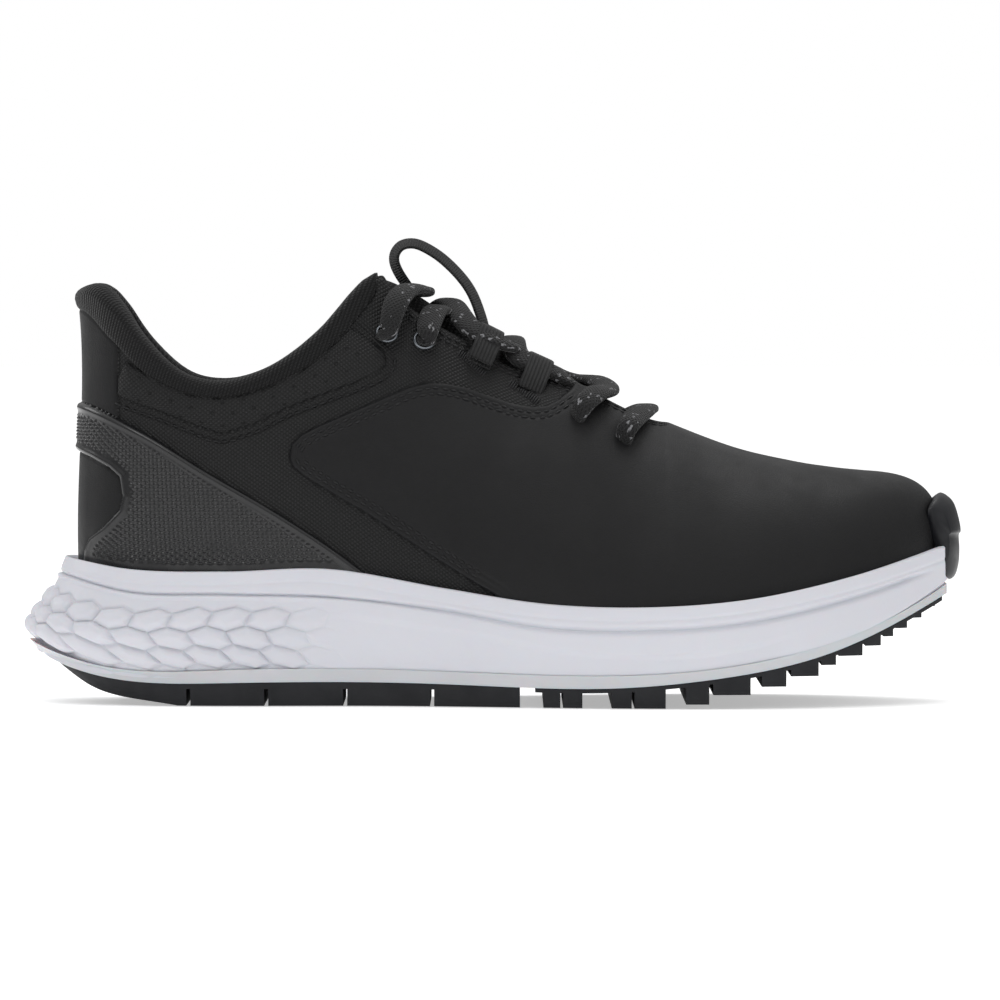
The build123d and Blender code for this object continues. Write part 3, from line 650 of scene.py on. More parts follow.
def squared(value, power):
    """A sine or cosine with its circle pushed out towards a square, or pulled in."""
    return np.sign(value) * np.abs(value) ** power


def full_turn(count):
    return np.linspace(0, 2 * np.pi, count, endpoint=False)


def ring(centre, right, up, angle):
    """Points round a centre. right and up are the half axes of the oval."""
    return centre + np.outer(np.cos(angle), right) + np.outer(np.sin(angle), up)


def tube(path, out, wide, thick, rounds=20, power=2.6):
    """A flat-oval tube along a path. out is the way its flat face looks; wide may change along it."""
    path = np.asarray(path, float)
    tangent = unit(np.gradient(path, axis=0))
    out = unit(out - tangent * (out * tangent).sum(1, keepdims=True))
    across = np.cross(tangent, out)
    angle = full_turn(rounds)
    c, s = squared(np.cos(angle), 2 / power), squared(np.sin(angle), 2 / power)
    wide = np.broadcast_to(wide, len(path))[:, None, None] / 2
    thick = np.broadcast_to(thick, len(path))[:, None, None] / 2
    sideways = across[:, None] * c[None, :, None] * wide
    points = path[:, None] + sideways + out[:, None] * s[None, :, None] * thick
    around = run_along(np.stack([c * wide.mean(), s * thick.mean()], 1))
    plan = np.stack(np.broadcast_arrays(run_along(path)[:, None], around[None, :]), -1)
    return points.reshape(-1, 3), plan.reshape(-1, 2), capped_faces(len(path), rounds)


# Upper.

HEEL_STEP, FRONT_STEP, ROWS = 0.31, 0.6, 230      # the skin's mesh size, and how many rows it has
PLAN_ROW = 70                                     # the row along which lengths round the shoe are counted


def ring_columns():
    """Where the columns stand round the upper: closer together at the heel."""
    w = np.linspace(-LAST, LAST, 4001)
    p = wall(w, np.full(w.shape, 0.35))
    run = run_along(p)
    pace = np.where(p[:, 0] < 108, HEEL_STEP, FRONT_STEP)
    count = np.concatenate([[0], np.cumsum(np.diff(run) / pace[1:])])
    return np.interp(np.linspace(0, count[-1], int(count[-1]) + 1)[:-1], count, w)


W = ring_columns()
T_LOW, T_TOP = ease_line(foot_of(W)), ease_line(top_of(W), 2)
OPEN = T_TOP < 0.985
V = np.linspace(0, 1, ROWS)
TT = T_LOW[:, None] + (T_TOP - T_LOW)[:, None] * V[None, :]
WW = np.broadcast_to(W[:, None], TT.shape)
BASE = wall(WW, TT)
NORMAL = wall_normal(WW, TT)
X, Z = BASE[..., 0], BASE[..., 2]
UP = run_along(BASE.swapaxes(0, 1)).T
ARC = run_along(BASE)
ARC = ARC - ARC[np.argmin(np.abs(W))]
ALONG = ARC[:, PLAN_ROW]
PLAN = np.stack([np.broadcast_to(ALONG[:, None], UP.shape), UP], -1)
TO_EDGE = np.where(OPEN[:, None], UP[:, -1:] - UP, 99.0)


def pyramids(a, b, wide, high):
    """A lattice of diamond-shaped pyramids, from 0 to 1."""
    one = np.abs((a / wide + b / high) % 1 - 0.5) * 2
    two = np.abs((a / wide - b / high) % 1 - 0.5) * 2
    return 1 - np.maximum(one, two)


def puff(distance, high, reach):
    """Padding that swells towards a height over a distance from its edge."""
    return high * (1 - np.exp(-np.maximum(distance, 0) / reach))


def film_relief(film_at):
    """The moulded film of the heel: a lattice of diamonds inside a beaded band."""
    lattice = pyramids(ARC, Z, 2.8, 1.95)
    bead = 0.35 * ridge(film_at - 1.3, 0.7)
    middle = step(film_at, 2.8, 3.6) * step(curve(RIM_TOP, X) + 3.2 - Z, 1, 0)
    return 1.5 * rounded(film_at, 0.8) + bead + middle * (0.8 * lattice - 0.35)


def upper_relief():
    """How far each point of the upper stands out, and which panel it is on."""
    overlay, window, panel = (inside(X, Z, outline) for outline in (OVERLAY, WINDOW, PANEL))
    wrap = np.minimum((curve(WRAP_TOP, X) - Z) * 0.85, WRAP_FRONT - X)
    film_at = np.minimum(wrap, -window)
    roll = (Z - curve(ROLL_LOW, X)) * 0.8 - np.where(X > 104.5, 40, 0)
    roll = np.where(X < 106, roll, -9)
    tab = np.minimum(TAB_FRONT - X, np.minimum(-wrap, -roll))
    seams = sum(ridge(overlay - inset, 0.35) for inset in OVERLAY_SEAMS)
    seams += sum(ridge(TO_EDGE - back, 0.35) for back in THROAT_SEAMS)
    layers = [
        ("tab", tab, 0.5 * rounded(tab, 0.8)),
        ("panel", panel, 0.9 * rounded(panel, 1.0) + puff(panel, 1.5, 4)),
        ("roll", roll, 0.9 * rounded(roll, 1.4) + puff(roll, 1.3, 5)),
        ("overlay", overlay, 1.35 * rounded(overlay, 0.8) - 0.2 * seams),
        ("badge", np.minimum(window, wrap), 0.5 * rounded(window, 1.2)),
    ]
    height = -0.35 * ridge(TAB_FRONT - X, 0.5) * (roll < 0) * (wrap < 0)
    height -= 0.35 * ridge(panel + PANEL_SEAM, 0.6) * (roll < -1) * (X > 30)
    ids = np.full(X.shape, "quarter", dtype="<U12")
    for name, distance, lift in layers:
        height += np.where(distance > 0, lift, 0)
        ids[distance > 0] = name
    height = np.where(film_at > 0, film_relief(film_at), height)
    ids[film_at > 0] = "film"
    height -= 0.9 * step(TO_EDGE, 1.0, 0.0) * (ids != "roll")
    return height, ids


RELIEF, IDS = upper_relief()
OUTER = BASE + NORMAL * RELIEF[..., None]
INNER_DEPTH = ease_line(np.where(X[:, -1] < 101, 6.4, 2.5), 14)      # padded collar, then bare edge


def edge_rows(steps=9):
    """Rows over the top edge, from the outer face to the lining."""
    top, n = OUTER[:, -1], NORMAL[:, -1]
    rise = unit(BASE[:, -1] - BASE[:, -4])
    thick = INNER_DEPTH + RELIEF[:, -1]
    rows = []
    for angle in np.linspace(0, np.pi, steps):
        inwards = (1 - np.cos(angle)) / 2 * thick
        lift = np.sin(angle) * np.minimum(thick / 2, 3.2)
        rows.append(top - n * inwards[:, None] + rise * lift[:, None])
    return np.stack(rows, 1)


def upper_pieces(look):
    """Split the skin of the upper into its panels."""
    faces = grid_faces(*TT.shape, closed=True)
    owner = IDS.reshape(-1)[faces[:, 0]]
    lateral = WW.reshape(-1)[faces[:, 0]] < 0
    pieces = []
    for node, panel in (("quarter", "quarter"), ("collar_panel", "panel")):
        for side, on_side in (("lateral", lateral), ("medial", ~lateral)):
            chosen = (owner == panel) & on_side
            pieces.append((f"{node}_{side}_skin", chosen, "ripstop", [f"{node}_{side}"], "textured"))
    pieces += [
        ("heel_tab_skin", owner == "tab", "leather", ["heel_tab"], "leather"),
        ("vamp_overlay", owner == "overlay", "leather", ["vamp_shell", "toe_puff"], "leather"),
        ("heel_badge_skin", owner == "badge", "leather", ["heel_badge"], "leather"),
        ("heel_wrap_skin", owner == "film", "film", ["heel_wrap"], "film"),
    ]
    for name, chosen, material, nodes, slot_name in pieces:
        p, uv, f = part_of(OUTER, PLAN, faces[chosen])
        finish_piece(name, p, f, uv, look[material], "shoe", nodes)
    collar_pieces(look, faces[owner == "roll"])


def collar_pieces(look, roll_faces):
    """The padded roll of the collar, the edge of the throat, and the lining."""
    rows = edge_rows()
    uv = np.stack(np.broadcast_arrays(ALONG[:, None], UP[:, -1:] + np.linspace(0, 9, rows.shape[1])), -1)
    faces = grid_faces(*rows.shape[:2], closed=False)
    first = faces[:, 0] // rows.shape[1]
    open_both = OPEN[first] & OPEN[np.minimum(first + 1, len(W) - 1)]
    on_roll = IDS[first, -1] == "roll"
    p, u, f = joined([part_of(OUTER, PLAN, roll_faces), part_of(rows, uv, faces[open_both & on_roll])])
    roll = finish_piece("collar_roll_knit", p, f, u, look["knit"], "shoe",
                        ["collar_roll", "collar_foam", "heel_padding", "heel_counter"])
    p, u, f = part_of(rows, uv, faces[open_both & ~on_roll])
    finish_piece("throat_edge", p, f, u, look["ripstop"], "shoe")

    share = np.linspace(0, 1, 60)
    t = T_TOP[:, None] + (T_LOW - T_TOP)[:, None] * share[None, :] * 0.98
    w = np.broadcast_to(W[:, None], t.shape)
    depth = INNER_DEPTH[:, None] + np.zeros(t.shape)
    inner = wall(w, t) - wall_normal(w, t) * depth[..., None]
    inner[:, 0] = np.where(OPEN[:, None], rows[:, -1], inner[:, 0])
    lining_plan = np.stack(np.broadcast_arrays(ALONG[:, None], share[None, :] * 90), -1)
    finish_piece("shoe_lining", inner, grid_faces(*t.shape, closed=True), lining_plan, look["cloth"], "shoe",
                 ["collar_lining", "vamp_lining"])


# Midsole.

Footprint = namedtuple("Footprint", "z heel heel_half waist_out waist_in ball fore toe")
FOOTPRINTS = [
    Footprint(0, 17.0, 28.0, 30.5, 25.0, 47.0, 37.5, 277.5),
    Footprint(10.5, 10.5, 32.5, 33.5, 28.5, 49.0, 39.5, 278.0),
    Footprint(22.5, 0.0, 37.5, 36.5, 32.0, 50.5, 41.0, 279.0),
    Footprint(34, 7.0, 35.0, 36.0, 32.0, 50.3, 41.0, 279.4),
    Footprint(52, 15.0, 32.0, 34.0, 31.5, 49.5, 40.0, 279.4),
]
SOLE_COLUMNS, SOLE_ROWS = 1500, 110
BUMPER_HALF = 11.0        # half the toe bumper's width, which the foam makes room for
BUMPS_AT = 60.6           # where, from the heel, a heel bump of the middle row is centred


def footprint_points(f):
    """The points that a footprint's outline goes through, from the heel round the lateral side."""
    sides = []
    for side, waist, ball_x in ((-1, f.waist_out, 178), (1, f.waist_in, 196)):
        sides.append([
            (f.heel + 8.5, side * 0.72 * f.heel_half),
            (40, side * f.heel_half),
            (100, side * waist),
            (ball_x, side * f.ball),
            (243, side * f.fore),
            (f.toe - 10, side * 0.44 * f.fore),
        ])
    lateral, medial = sides
    return np.array([(f.heel, 0), *lateral, (f.toe, 0), *medial[::-1]], float)


def round_spline(points, share):
    """Points on the smooth closed line through these, at shares of its chords."""
    count = len(points)
    chord = np.linalg.norm(np.roll(points, -1, axis=0) - points, axis=1)
    knots = np.concatenate([[0], np.cumsum(chord)])
    matrix, right = np.zeros((count, count)), np.zeros((count, 2))
    for i in range(count):
        h0, h1 = chord[i - 1], chord[i]
        matrix[i, i - 1] += h0
        matrix[i, i] += 2 * (h0 + h1)
        matrix[i, (i + 1) % count] += h1
        right[i] = 6 * ((points[(i + 1) % count] - points[i]) / h1 - (points[i] - points[i - 1]) / h0)
    bend = np.linalg.solve(matrix, right)
    s = share * knots[-1]
    i = np.clip(np.searchsorted(knots, s, "right") - 1, 0, count - 1)
    j = (i + 1) % count
    h, a = chord[i][:, None], (s - knots[i])[:, None]
    b = h - a
    return (bend[i] * b ** 3 + bend[j] * a ** 3) / (6 * h) + (points[i] / h - bend[i] * h / 6) * b \
        + (points[j] / h - bend[j] * h / 6) * a


def sole_wall(share, z):
    """Points of the sole's side at shares of its outline and heights, columns x rows."""
    levels = np.array([f.z for f in FOOTPRINTS], float)
    outlines = np.stack([round_spline(footprint_points(f), share) for f in FOOTPRINTS])
    slope = np.gradient(outlines, levels, axis=0)
    i = np.clip(np.searchsorted(levels, z) - 1, 0, len(levels) - 2)
    column = np.broadcast_to(np.arange(len(share))[:, None], z.shape)
    run = (levels[i + 1] - levels[i])[..., None]
    t = np.clip((z - levels[i])[..., None] / run, 0, 1)
    j = i + 1
    xy = cubic(t, run, outlines[i, column], outlines[j, column], slope[i, column], slope[j, column])
    return np.concatenate([xy, z[..., None]], -1)


def hexagons(a, b, pitch, rise):
    """How far inside its cell of a honeycomb each point is. It has three rows, half a cell apart."""
    best = np.full(a.shape, -9.0)
    for row in (-1, 0, 1):
        da = np.abs((a / pitch + 0.5 * abs(row)) % 1 - 0.5) * pitch
        db = np.abs(b - row * rise)
        best = np.maximum(best, np.minimum(pitch / 2 - da, 3.75 - db - 0.29 * da))
    return best


def sole_grid(share, middle):
    """The plain side of the foam, from the plate up to the rim, and the rim's height at each column."""
    low_x = high_x = middle[:, 0]
    for _ in range(4):
        low, high = curve(PLATE_TOP, low_x) + 0.02, curve(RIM_TOP, high_x)
        z = low[:, None] + (high - low)[:, None] * np.linspace(0, 1, SOLE_ROWS)[None, :]
        p = sole_wall(share, z)
        low_x, high_x = p[:, 0, 0], p[:, -1, 0]
    return p, high


def sole_relief(p, high, from_bumps):
    """The groove and creases of the foam, its pillows at the heel, and the room for the toe bumper."""
    x, z = p[..., 0], p[..., 2]
    groove, crease = curve(GROOVE, x), curve(CREASE, x)
    wide = 0.42 + 0.45 * step(x, 95, 150)
    relief = -1.3 * ridge(z - groove, wide) * step(268 - x, -4, 6)
    relief -= 0.22 * ridge(z - high[:, None] + 3.6, 0.6)
    relief -= 0.5 * step(crease - z, -1.4, 1.0) * step(x, 86, 110) * step(232 - x, 0, 14)
    cell = hexagons(from_bumps, z - curve(PLATE_TOP, x) - 9.6, 11.7, 5.7)
    fade = step(98 - x, 0, 30) * step(groove - 0.8 - z, 0, 1.2)
    relief += fade * (1.5 * np.sqrt(step(cell, 0.05, 2.9)) - 0.55 * ridge(cell, 0.4) - 0.6)
    at_bumper = step(BUMPER_HALF + 1.0 - np.abs(p[..., 1]), 0, 2.5) * (x > 250) * step(z, 35, 38)
    return relief - 2.4 * at_bumper


def midsole(look):
    """The foam sidewall, with its edges turned in over the upper and under to the plate."""
    share = np.arange(SOLE_COLUMNS) / SOLE_COLUMNS
    middle = round_spline(footprint_points(FOOTPRINTS[2]), share)
    p, high = sole_grid(share, middle)
    is_rim = p[..., 2] > curve(GROOVE, p[..., 0])
    chords = np.linalg.norm(np.roll(middle, -1, axis=0) - middle, axis=1)
    along = np.concatenate([[0], np.cumsum(chords)[:-1]])
    along = np.where(along > chords.sum() / 2, along - chords.sum(), along)[:, None]
    start = np.abs(along[np.argmin(np.abs(middle[:SOLE_COLUMNS // 2, 0] - BUMPS_AT))])
    heel_drop = 1.3 * step(30 - p[:, :1, 0], 0, 14) * [0, 0, 1]
    relief = sole_relief(p, high, np.abs(along + np.zeros(SOLE_ROWS)) - start)
    n = unit(np.cross(np.roll(p, -1, axis=0) - np.roll(p, 1, axis=0), np.gradient(p, axis=1)))
    n *= np.sign((n[..., 1] * p[..., 1]).sum())
    p = p + n * relief[..., None]
    cap = []
    for inwards, lift in ((0.35, 0.3), (0.9, 0.45), (2.2, 0.4), (4.5, -0.6), (9, -2.5)):
        cap.append(p[:, -1] - n[:, -1] * inwards + np.array([0, 0, lift]))
    under = []
    for inwards, drop in ((8.0, 2.4), (3.5, 2.4), (0.6, 2.2), (0.45, 0.5)):
        under.append(p[:, 0] - n[:, 0] * [inwards, inwards, 0] - [0, 0, drop] - heel_drop)
    p = np.concatenate([np.stack(under, 1), p, np.stack(cap, 1)], 1)
    rows = p.shape[1]
    plan = np.stack(np.broadcast_arrays(along + np.zeros((1, rows)), p[..., 2]), -1)
    faces = grid_faces(SOLE_COLUMNS, rows, closed=True)
    is_rim = np.pad(is_rim, ((0, 0), (len(under), 0)))
    is_rim = np.pad(is_rim, ((0, 0), (0, len(cap))), constant_values=True).reshape(-1)[faces[:, 0]]
    for node, chosen in (("midsole_rim", is_rim), ("midsole_foam", ~is_rim)):
        q, uv, f = part_of(p, plan, faces[chosen])
        finish_piece(f"{node}_skin", q, f, uv, look["foam"], "shoe", [node])


# Lacing.

# Points of a lace half: distance from the heel, how far out on its own side, and height. Where there are
# two heights, the lateral half passes at the first and the medial half at the second.
LACE = [
    (185.5, 0, 87.6), (184.4, 10.5, 87.2), (181.6, 20.5, 85.2), (179.3, 26.6, 82.0), (176.2, 20.6, 75.4),
    (170.0, 20.0, 77.6), (163.9, 20.4, 81.8), (166.0, 27.2, 88.4), (170.0, 21.5, 92.4), (173.6, 10.5, 93.4),
    (170.5, 0, (95.9, 91.9)), (165.0, -8.0, (96.2, 93.6)), (158.6, -12.3, 98.0), (147.6, -13.1, 103.0),
    (145.4, 0, (104.0, 107.9)), (143.6, 13.2, 106.6), (133.0, 14.3, 111.9), (127.0, 0, (119.0, 115.1)),
    (122.8, -11.0, 117.2), (120.8, -19.6, 114.0), (119.9, -24.6, 109.6), (118.3, -17.4, 106.8),
    (107.8, -18.2, 109.1), (108.6, -26.2, 111.6), (110.8, -23.6, 119.4), (114.4, -14.0, 123.4),
    (118.6, 0, 122.6),
]
LACE_WIDE, LACE_THICK = 7.4, 3.3
PINCHED = (3, 4, 6, 7, 20, 21, 22, 23)      # the points of LACE in or next to a hole
LOOPS = [(12, 13), (15, 16)]                # the two points of LACE that each webbing loop lies between
LOOP_ROUTE = [(11, -2.6), (7, -2.2), (2, -2.0), (-1.6, -1.9), (-3.2, 0), (-1.6, 2.0), (2, 2.1), (7, 1.0),
              (11, -1.0)]                   # round the lace: how far down, and how far out
RIBBON = {"rounds": 16, "power": 5}         # the section of webbing and ribbon: nearly square
EYELETS = [(119.3, 108.3), (108.1, 110.3)]
EYELET_HALF = (3.5, 3.1)
RIM_PROFILE = [(0.62, -2.5), (0.64, 0.0), (0.7, 0.65), (0.8, 0.95), (0.92, 0.8), (1.0, 0.3), (1.0, -0.1)]


def lace_points(half, side):
    """The points of a lace half. side is the side that it starts on."""
    return np.array([(x, side * out, z[half] if isinstance(z, tuple) else z) for x, out, z in LACE], float)


def outwards(points):
    """The way out of the shoe at each point of the lace."""
    core = points * [1, 0, 0]
    core[:, 2] = np.interp(points[:, 0], [105, 145, 190], [92, 78, 60])
    return unit(points - core)


def laces(look):
    """The two halves of the lace, flat between the holes and folded in them."""
    for half, (name, side) in enumerate(SIDES):
        raw = lace_points(half, side)
        path = smooth_path(raw, 14)
        pinch = np.ones(len(raw))
        pinch[list(PINCHED)] = 0.8
        wide = smooth_path(np.stack([pinch, pinch], 1), 14)[:, 0]
        thick = LACE_THICK * (1.35 - 0.35 * wide)
        points, plan, faces = tube(path, outwards(path), LACE_WIDE * wide, thick, 24)
        finish_piece(f"lace_{name}_braid", points, faces, plan, look["braid"], "shoe",
                     [f"lace_{name}"])


def lace_loop(side, first, last):
    """One folded strip of webbing, sewn down on a side, round the lace between two of its points."""
    own = 1 if LACE[first][1] > 0 else -1
    half = 0 if side * own < 0 else 1
    points = lace_points(half, side * own)
    along = unit(points[last] - points[first])
    down = np.array([0, side * 0.75, -0.66])
    down = unit(down - along * along.dot(down))
    out = np.cross(along, down)
    out *= np.sign(out[2])
    middle = (points[first] + points[last]) / 2
    path = smooth_path([middle + down * a + out * b for a, b in LOOP_ROUTE], 6)
    return tube(path, np.cross(np.gradient(path, axis=0), along), 7.8, 0.9, **RIBBON)


def lace_loops(look):
    """Folded webbing that the lace runs through."""
    for name, side in SIDES:
        points, plan, faces = joined([lace_loop(side, first, last) for first, last in LOOPS])
        finish_piece(f"lace_loops_{name}_webbing", points, faces, plan, look["loops"], "shoe",
                     [f"lace_loops_{name}"])


def locate(side, x, z):
    """The surface's own coordinates at side-view points."""
    chosen = np.where((W < 0) == (side < 0))[0]
    grid = BASE[chosen]
    found = []
    for a, b in zip(np.atleast_1d(x), np.atleast_1d(z)):
        far = (grid[..., 0] - a) ** 2 + (grid[..., 2] - b) ** 2
        i, j = np.unravel_index(far.argmin(), far.shape)
        found.append((chosen[i], j))
    return np.array(found)


def eyelet(side, x, z):
    """One oval rim with a rolled section and a barrel."""
    i, j = locate(side, x, z)[0]
    centre, n = OUTER[i, j], NORMAL[i, j]
    right = unit(np.array([1, 0, 0]) - n * n[0])
    up = np.cross(n, right)
    wide, high = EYELET_HALF
    rings = [ring(centre + n * lift, right * wide * size, up * high * size, full_turn(40))
             for size, lift in RIM_PROFILE]
    grid = np.stack(rings, 1).reshape(-1, 3)
    return grid, np.zeros((len(grid), 2)), grid_faces(40, len(RIM_PROFILE), closed=True).tolist()


def eyelets(look):
    """The metal rims of the two upper lace holes."""
    for name, side in SIDES:
        points, plan, faces = joined([eyelet(side, x, z) for x, z in EYELETS])
        finish_piece(f"eyelets_{name}_rims", points, faces, plan, look["metal"], "shoe",
                     [f"eyelets_{name}"])


# Tongue and pull loop.

# Distance from the heel, half width, height at the sides and height at the crest.
TONGUE = [(101.0, 11.5, 116.5, 127.0), (107.0, 13.3, 111.0, 124.2), (113.0, 14.0, 105.0, 121.0),
          (140.0, 14.0, 91.0, 104.0), (165.0, 13.0, 80.0, 89.8), (187.0, 11.0, 72.0, 78.2)]
TONGUE_THICK = 6.3
RIBBON_TURN = 32          # degrees that the ribbon's face is turned from the front
PUFF = 2.8                # how far the padding swells
FEET = [((116.3, 121.4), (120.5, 116.2)), ((137.7, 108.6), (142.5, 103.6))]
PULL_LOOP = [(115.5, 121.9), (111.0, 128.8), (109.9, 133.0), (111.6, 136.1), (114.8, 137.1), (118.5, 136.2),
             (124.0, 132.8), (129.5, 127.5), (133.2, 122.2), (135.8, 115.6), (137.6, 108.8)]


def tongue(look):
    """The padded tongue: an arched cushion."""
    x = np.linspace(101, 187, 150)
    half, edge, crest = (curve([(row[0], row[k]) for row in TONGUE], x) for k in (1, 2, 3))
    angle = full_turn(96)
    c, s = squared(np.cos(angle), 0.8), squared(np.sin(angle), 0.45)
    y = half[:, None] * c[None, :]
    crest = crest + PUFF * rounded(x - 103, 8) * rounded(187 - x, 12)
    arch = crest[:, None] - (crest - edge)[:, None] * np.abs(c[None, :]) ** 2.6
    end = np.minimum(rounded(x - 100.9, 3.0), rounded(187.2 - x, 2.5))[:, None]
    thick = TONGUE_THICK * end * (0.93 + 0.07 * np.cos(x / 3.7))[:, None]
    z = arch - TONGUE_THICK / 2 + s[None, :] * thick / 2
    points = np.stack([np.broadcast_to(x[:, None], y.shape), y, z], -1)
    plan = np.stack([np.broadcast_to(x[:, None], y.shape), np.broadcast_to(angle * 12, y.shape)], -1)
    piece = finish_piece("tongue_cushion", points, capped_faces(*y.shape), plan, look["knit"], "tongue",
                         ["tongue_cover", "tongue_foam", "tongue_lining"])


def pull_loop(look):
    """The ribbon, and the two sewn feet that it stands on."""
    across = np.array([0.0, 1.0, 0.0])
    path = smooth_path([(x, 0, z) for x, z in PULL_LOOP], 8)
    out = unit(np.cross(np.gradient(path, axis=0), across))
    turn = math.radians(RIBBON_TURN)
    out = out * math.cos(turn) - across * math.sin(turn)
    points, plan, faces = tube(path, out, 5.0, 1.0, **RIBBON)
    finish_piece("pull_loop_ribbon", points, faces, plan, look["webbing"], "pull_loop",
                 ["pull_loop"])
    feet = []
    for (ax, az), (bx, bz) in FEET:
        foot = smooth_path([(ax, 0, az), ((ax + bx) / 2, 0, (az + bz) / 2 + 0.4), (bx, 0, bz)], 6)
        feet.append(tube(foot, np.cross(np.gradient(foot, axis=0), across), 5.0, 1.0, **RIBBON))
    points, plan, faces = joined(feet)
    finish_piece("pull_loop_feet", points, faces, plan, look["webbing"], "tongue", ["loop_feet"])


# Stitches.


STITCH_PITCH = 2.6
STITCH_SHARE = 0.75       # how much of the pitch its thread shows
STITCH_RINGS = [(0.0, 0.35), (0.12, 0.8), (0.5, 1.0), (0.88, 0.8), (1.0, 0.35)]      # share of length, size


def stitch_ends(run):
    """Where along a line each stitch starts and ends."""
    starts = np.arange(0.5, run[-1] - STITCH_PITCH, STITCH_PITCH)
    return zip(starts, starts + STITCH_SHARE * STITCH_PITCH)


def along_line(line, run, place):
    """The point of a line at a distance along it."""
    return np.array([np.interp(place, run, column) for column in line.T])


def stitch_row(side, line, inset):
    """Places for stitches along a side-view line, shifted sideways by an inset."""
    path = smooth_path(line, 10)
    way = unit(np.gradient(path, axis=0))
    path = path + np.stack([-way[:, 1], way[:, 0]], 1) * inset
    run = run_along(path)
    out = []
    for ends in stitch_ends(run):
        a, b = (along_line(path, run, end) for end in ends)
        (i, j), (k, m) = locate(side, [a[0], b[0]], [a[1], b[1]])
        out.append((OUTER[i, j], OUTER[k, m], NORMAL[i, j]))
    return out


def edge_stitches(columns, back):
    """Places for stitches along the throat, a distance back from its edge."""
    row = np.abs(TO_EDGE[columns] - back).argmin(1)
    line, n = OUTER[columns, row], NORMAL[columns, row]
    run = run_along(line)
    out = []
    for a, b in stitch_ends(run):
        out.append((along_line(line, run, a), along_line(line, run, b), n[np.abs(run - a).argmin()]))
    return out


def stitch(a, b, n, thick=0.6):
    """A small rounded thread from a to b, pulled into the surface at both ends."""
    across = unit(np.cross(b - a, n)) * thick / 2
    rings = []
    for share, size in STITCH_RINGS:
        sink = 0.22 - 0.36 * (2 * share - 1) ** 4
        centre = a + (b - a) * share + n * sink
        rings.append(ring(centre, across * size, n * thick / 2 * size, full_turn(7)))
    points = np.vstack(rings)
    return points, np.zeros((len(points), 2)), capped_faces(len(rings), 7)


def stitches(name, places, look):
    """One thread for each place."""
    points, _, faces = joined([stitch(*place) for place in places])
    finish_piece(name, points, faces, None, look["thread"], "shoe")


def all_stitches(look):
    """The double seams of the overlay and throat, the panel's seam and the webbing's bars."""
    top, low, panel = OVERLAY[1:16], OVERLAY[-7:] + [OVERLAY[0]], PANEL[1:13]
    for name, side in SIDES:
        places = []
        for inset in OVERLAY_SEAMS:
            places += stitch_row(side, top, -inset)
            places += stitch_row(side, low, -inset)
        places += stitch_row(side, panel, -PANEL_SEAM)
        front = np.where(OPEN & (W * side > 0) & (X[:, -1] > 109))[0]
        for back in THROAT_SEAMS:
            places += edge_stitches(front, back)
        stitches(f"stitches_{name}", places, look)
        stitches(f"loop_bars_{name}", bar_places(side), look)


# Toe bumper, perforations and the sewn bars of the webbing.

BUMPER = [(272.2, 61.6), (273.6, 62.5), (275.6, 61.6), (277.6, 59.4), (279.0, 55.2), (279.7, 51.2),
          (279.1, 49.8), (279.3, 45.5), (279.0, 41), (277.9, 37.6), (275.9, 36.6), (274.9, 40), (274.6, 45),
          (273.4, 50), (272.3, 56)]
HOLE_ROW = [(33, 94.6), (42, 91), (50, 88.2), (59, 86.2), (68, 88), (76, 91.8), (84, 96), (92, 100.3),
            (100, 104)]
HOLE_PITCH = 6.1
HOLE_RINGS = [(0.62, -0.05), (0.5, 0.07), (0.36, -0.02)]      # radius, height


def toe_bumper(look):
    """A rubber cap, thickest at the middle of the toe, that wraps up over its front."""
    section = smooth_path(BUMPER + BUMPER[:1], 5)[:-1]
    ys = np.linspace(-BUMPER_HALF, BUMPER_HALF, 61)
    middle = section.mean(0)
    rows = []
    for y in ys:
        size = 0.5 + 0.5 * np.sqrt(max(1 - (y / (BUMPER_HALF + 0.4)) ** 2, 0))
        p = middle + (section - middle) * [0.75 + 0.25 * size, size]
        rows.append(np.stack([p[:, 0] - y * y / 36, np.full(len(p), y), p[:, 1]], 1))
    grid = np.stack(rows)
    plan = np.stack(np.broadcast_arrays(ys[:, None], np.arange(grid.shape[1])[None, :] * 0.6), -1)
    finish_piece("toe_bumper_cap", grid, capped_faces(*grid.shape[:2]), plan, look["bumper"], "shoe",
                 ["toe_bumper"])


def hole(centre, n):
    """A small hole: a raised lip round a dark floor, whose near-black colour is painted shade for the hole's
    depth.
    """
    right = unit(np.cross(n, [0, 0, 1]))
    up = np.cross(right, n)
    points = np.vstack([ring(centre + n * height, right * radius, up * radius, full_turn(10))
                        for radius, height in HOLE_RINGS])
    faces = capped_faces(len(HOLE_RINGS), 10)
    del faces[-2]
    return points, np.zeros((len(points), 2)), faces


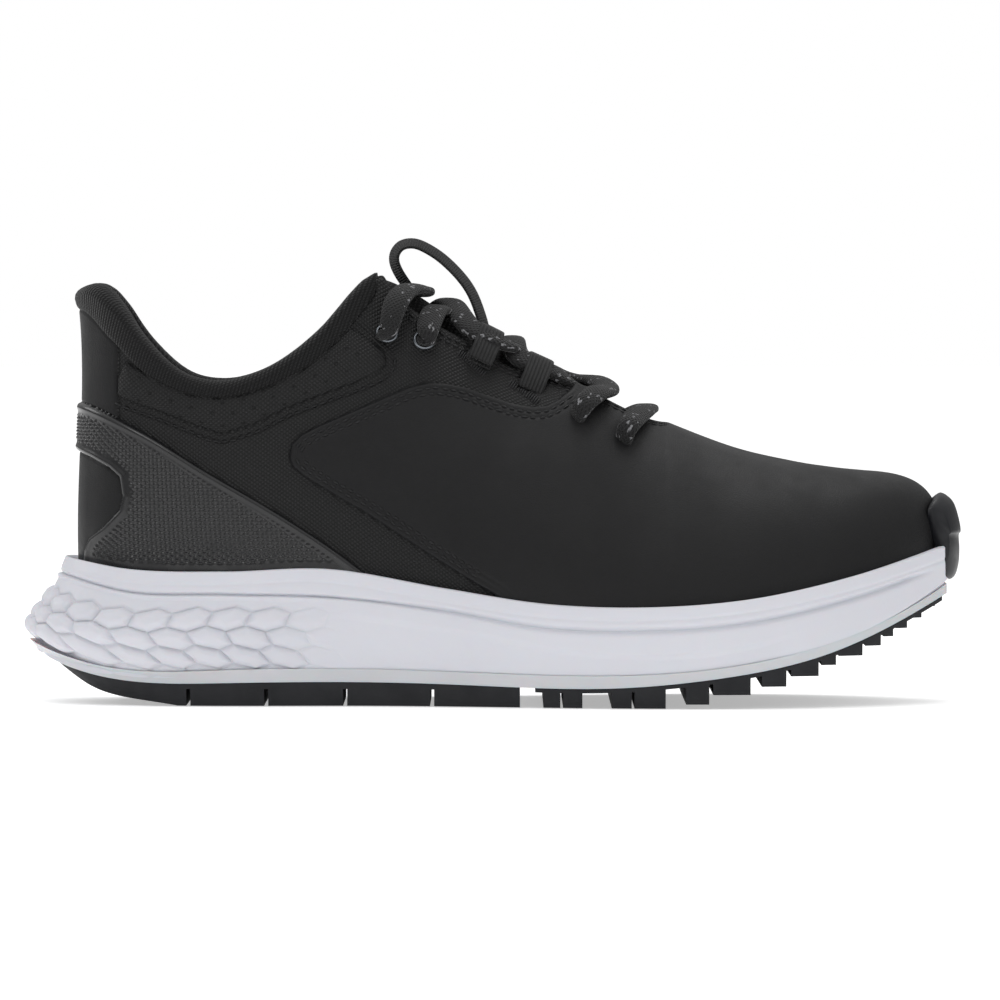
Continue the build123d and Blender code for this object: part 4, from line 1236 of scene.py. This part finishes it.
def perforations(look):
    """Holes in three staggered rows over the collar panel, each a dark disc of painted shade inside a raised
    lip.
    """
    for name, side in SIDES:
        holes = []
        for row, lift in enumerate((-3.2, 0.0, 3.2)):
            x = np.arange(35 + HOLE_PITCH / 2 * (row % 2), 101, HOLE_PITCH)
            z = curve(HOLE_ROW, x) + lift
            keep = inside(x, z, PANEL) > 1.2
            holes += [hole(OUTER[i, j], NORMAL[i, j]) for i, j in locate(side, x[keep], z[keep])]
        points, _, faces = joined(holes)
        finish_piece(f"perforations_{name}", points, faces, None, look["hole"], "shoe")


BARS = [((129.7, 104.8), (137.8, 98.4)), ((144.8, 95.7), (153.2, 89.8))]


def bar_places(side):
    """Close short stitches across each bar that holds a webbing loop down."""
    places = []
    for (ax, az), (bx, bz) in BARS:
        long = math.hypot(bx - ax, bz - az)
        across = np.array([-(bz - az), bx - ax]) / long * 1.3
        for share in np.arange(0, 1.001, 0.75 / long):
            x, z = ax + (bx - ax) * share, az + (bz - az) * share
            (i, j), (k, m) = locate(side, [x - across[0], x + across[0]], [z - across[1], z + across[1]])
            places.append((OUTER[i, j], OUTER[k, m], NORMAL[i, j]))
    return places


# The CAD pieces that are shown as they are.

CARRIED_OVER = {
    "plate": ["outsole_plate"],
    "tread": ["heel_tread", "forefoot_tread_lateral", "forefoot_tread_centre", "forefoot_tread_medial",
              "toe_tread"],
    "cloth": ["strobel_board", "sockliner_cover", "sockliner_foam"],
}


def carried_over_looks(look):
    """Give the carried-over pieces their materials."""
    for key, nodes in CARRIED_OVER.items():
        for node in nodes:
            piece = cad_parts[node]
            if not piece.material_slots:
                piece.data.materials.append(look[key])
            for place in piece.material_slots:
                place.material = look[key]


make_camera()
make_lights()
make_world()
make_floor()
LOOK = {
    "leather": leather(), "ripstop": ripstop(), "film": film(), "knit": knit(), "cloth": mesh_cloth(),
    "foam": foam_white(), "plate": plate_rubber(), "tread": dark_rubber("tread_rubber", 0.62),
    "bumper": dark_rubber("bumper_rubber", 0.4), "braid": lace_braid(),
    "webbing": webbing("ribbon", lengthways=False), "loops": webbing("loop_webbing", lengthways=True),
    "metal": gunmetal(), "thread": thread(), "hole": hole_shade_paint(),
}
upper_pieces(LOOK)
midsole(LOOK)
laces(LOOK)
lace_loops(LOOK)
eyelets(LOOK)
tongue(LOOK)
pull_loop(LOOK)
all_stitches(LOOK)
toe_bumper(LOOK)
perforations(LOOK)
carried_over_looks(LOOK)
